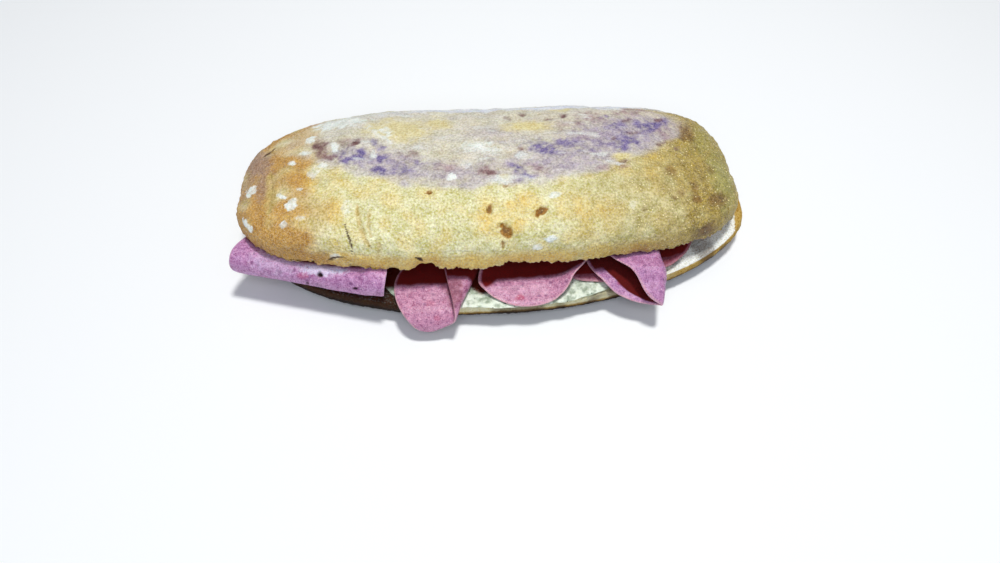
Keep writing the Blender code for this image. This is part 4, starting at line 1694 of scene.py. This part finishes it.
# The roll and the cone are painted more lilac than the others: painted cold light, which they catch more
# of.
SLICES = (
    RolledSlice(
        "salami_roll", 35.0, 36.0, -90.0, -30.0, middle_across=6.0, turn=math.radians(106.0),
        holes=ovals((-85.1, -15.3, 1.2, 1.5), (-91.7, -18.9, 0.8, 0.5), (-69.9, -22.4, 0.9, 0.6)),
        blushes=ovals((-92.9, -15.3, 2.6, 1.4, 0, 0.7)),
        # painted highlight across the roll's middle and over its left part
        painted_sheens=ovals((-84.0, -12.6, 10.0, 3.2, -8), (-105.0, -8.5, 11.0, 5.0, -12, 0.35)),
        meat=CuredMeat("cured_meat_of_roll", lean="#8c4c84", pale="#d2a2cf", rim="#caa4c2"),
        columns=190, rows=170,
    ),
    FoldedSlice(
        "salami_tongue", 27.2, 31.9, -18.7, -35.3, middle_across=-3.5, lean=-11.7, taper=0.53,
        turn=math.radians(27.2),
        blushes=ovals((-37.3, -30.5, 2.6, 1.4, 0, 0.4), (-34.5, -37.4, 1.6, 1.2, 0, 0.6)),
        # painted shade on the tongue's flap
        shade_patches=ovals((-26.8, -22.0, 5.0, 10.0, 8, 0.5)),
    ),
    TroughSlice(
        "salami_arc", 31.0, 34.0, 6.0, -18.5, middle_across=2.0, layers=1.0,
        blushes=ovals((3.5, -30.2, 1.9, 1.4)),
    ),
    FoldedSlice(
        "salami_cone", 34.0, 33.0, 67.5, -22.5, middle_across=1.5, upper_taper=0.14,
        turn=math.radians(4.0), layers=2.0, radius=2.6, growth=0.6, swell=1.1, tightening=0.8, pocket=1.2,
        # a darker painted shade for the cone's pocket
        meat=CuredMeat("cured_meat_of_cone", lean="#884880", pale="#cf9cc8", painted_shade_colour="#5c0503"),
    ),
    # These two lie under the others, in dark red painted shade.
    Slice("salami_under", 36.0, 36.0, 44.0, -6.0, shade=0.7, columns=130, rows=120),
    Slice("salami_right", 28.0, 34.0, 66.0, -4.0, layers=1.0, shade=0.8, columns=130, rows=120),
)


@dataclass(frozen=True)
class SquareLight:
    """A square light: where it hangs and its side, in metres, its power in watts and its colour."""

    name: str
    place: tuple[float, float, float]
    size: float
    power: float
    colour: str

    def hang(self) -> None:
        """Hang it so that it looks at the sandwich."""
        lamp = bpy.data.lights.new(self.name, "AREA")
        lamp.shape = "SQUARE"
        lamp.size = self.size
        lamp.energy = self.power
        lamp.color = linear(self.colour)[:3]
        holder = bpy.data.objects.new(self.name, lamp)
        holder.location = self.place
        holder.rotation_euler = Vector(self.place).to_track_quat("Z", "Y").to_euler()
        bpy.context.scene.collection.objects.link(holder)


@dataclass(frozen=True)
class Studio:
    """A pale floor, soft lights and the camera, which stands where the picture was taken."""

    focal_pixels: float = 720.0
    frame_width: float = 1000.0
    sensor_width: float = 36.0
    near_end: float = 0.01
    eye: tuple[float, float, float] = (-31.58, -229.03, 285.4)
    roll: float = math.radians(3.36)
    heading: float = math.radians(8.0)
    floor_size: float = 6.0
    floor_colour: str = "#f3f7fb"
    floor_roughness: float = 0.9
    lights: tuple[SquareLight, ...] = (
        SquareLight("key", (0.1, 0.06, 1.2), 0.16, 10.6, "#fffcf6"),
        SquareLight("front_softbox", (-0.1, -0.75, 0.95), 0.8, 5.0, "#f8faff"),
    )
    sky_colour: str = "#eef3ff"
    sky_strength: float = 0.18

    def place_camera(self) -> None:
        """Stand the camera at the picture's viewpoint."""
        back = Vector((0.0, -math.cos(VIEW_ELEVATION), math.sin(VIEW_ELEVATION)))
        right = Vector((1.0, 0.0, 0.0))
        up = back.cross(right)
        tilted = right * math.cos(self.roll) + up * math.sin(self.roll)
        upright = up * math.cos(self.roll) - right * math.sin(self.roll)
        turn = Matrix.Rotation(-self.heading, 3, "Z")
        axes = Matrix([turn @ axis for axis in (tilted, upright, back)]).transposed()
        camera = bpy.data.objects.new("camera", bpy.data.cameras.new("camera"))
        camera.data.sensor_width = self.sensor_width
        camera.data.lens = self.focal_pixels * self.sensor_width / self.frame_width
        camera.data.clip_start = self.near_end
        camera.matrix_world = Matrix.Translation(to_metres(np.array(self.eye))) @ axes.to_4x4()
        bpy.context.scene.collection.objects.link(camera)
        bpy.context.scene.camera = camera

    def lay_floor(self) -> None:
        """Lay the plain pale floor."""
        bpy.ops.mesh.primitive_plane_add(size=self.floor_size)
        floor = bpy.context.object
        floor.name = "floor"
        matt = bpy.data.materials.new("matt_floor")
        matt.use_nodes = True
        shader = matt.node_tree.nodes["Principled BSDF"]
        shader.inputs["Base Color"].default_value = linear(self.floor_colour)
        shader.inputs["Roughness"].default_value = self.floor_roughness
        floor.data.materials.append(matt)

    def build(self) -> None:
        """Lay the floor, hang the lights under a faint sky and place the camera."""
        self.lay_floor()
        for light in self.lights:
            light.hang()
        world = bpy.data.worlds.new("studio")
        world.use_nodes = True
        sky = world.node_tree.nodes["Background"]
        sky.inputs["Color"].default_value = linear(self.sky_colour)
        sky.inputs["Strength"].default_value = self.sky_strength
        bpy.context.scene.world = world
        bpy.context.scene.view_settings.view_transform = "Standard"
        self.place_camera()


class Slot(Enum):
    """What a piece is made of, by the names that the library gives its finishes."""

    CRUST = "crust"
    SPREAD = "spread"
    SALAMI = "salami"


def dress(piece: bpy.types.Object, node: str) -> None:
    """Let a piece stand for its node and ride on the one body.

    Args:
        piece: the finished piece.
        node: the solid that it replaces.
    """
    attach(piece, "root")
    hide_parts(node)
    LOG.info("%s: %d faces for %s", piece.name, len(piece.data.polygons), node)


def main() -> None:
    """Build and dress the sandwich."""
    logging.basicConfig(level=logging.INFO, format="%(message)s")
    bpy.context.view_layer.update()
    Studio().build()
    dress(BreadTop().build(), "bread_top")
    dress(BreadBottom().build(), "bread_bottom")
    dress(CheeseSpread().build(), "spread")
    for piece in SLICES:
        dress(piece.build(), piece.node)


if __name__ == "__main__":
    main()
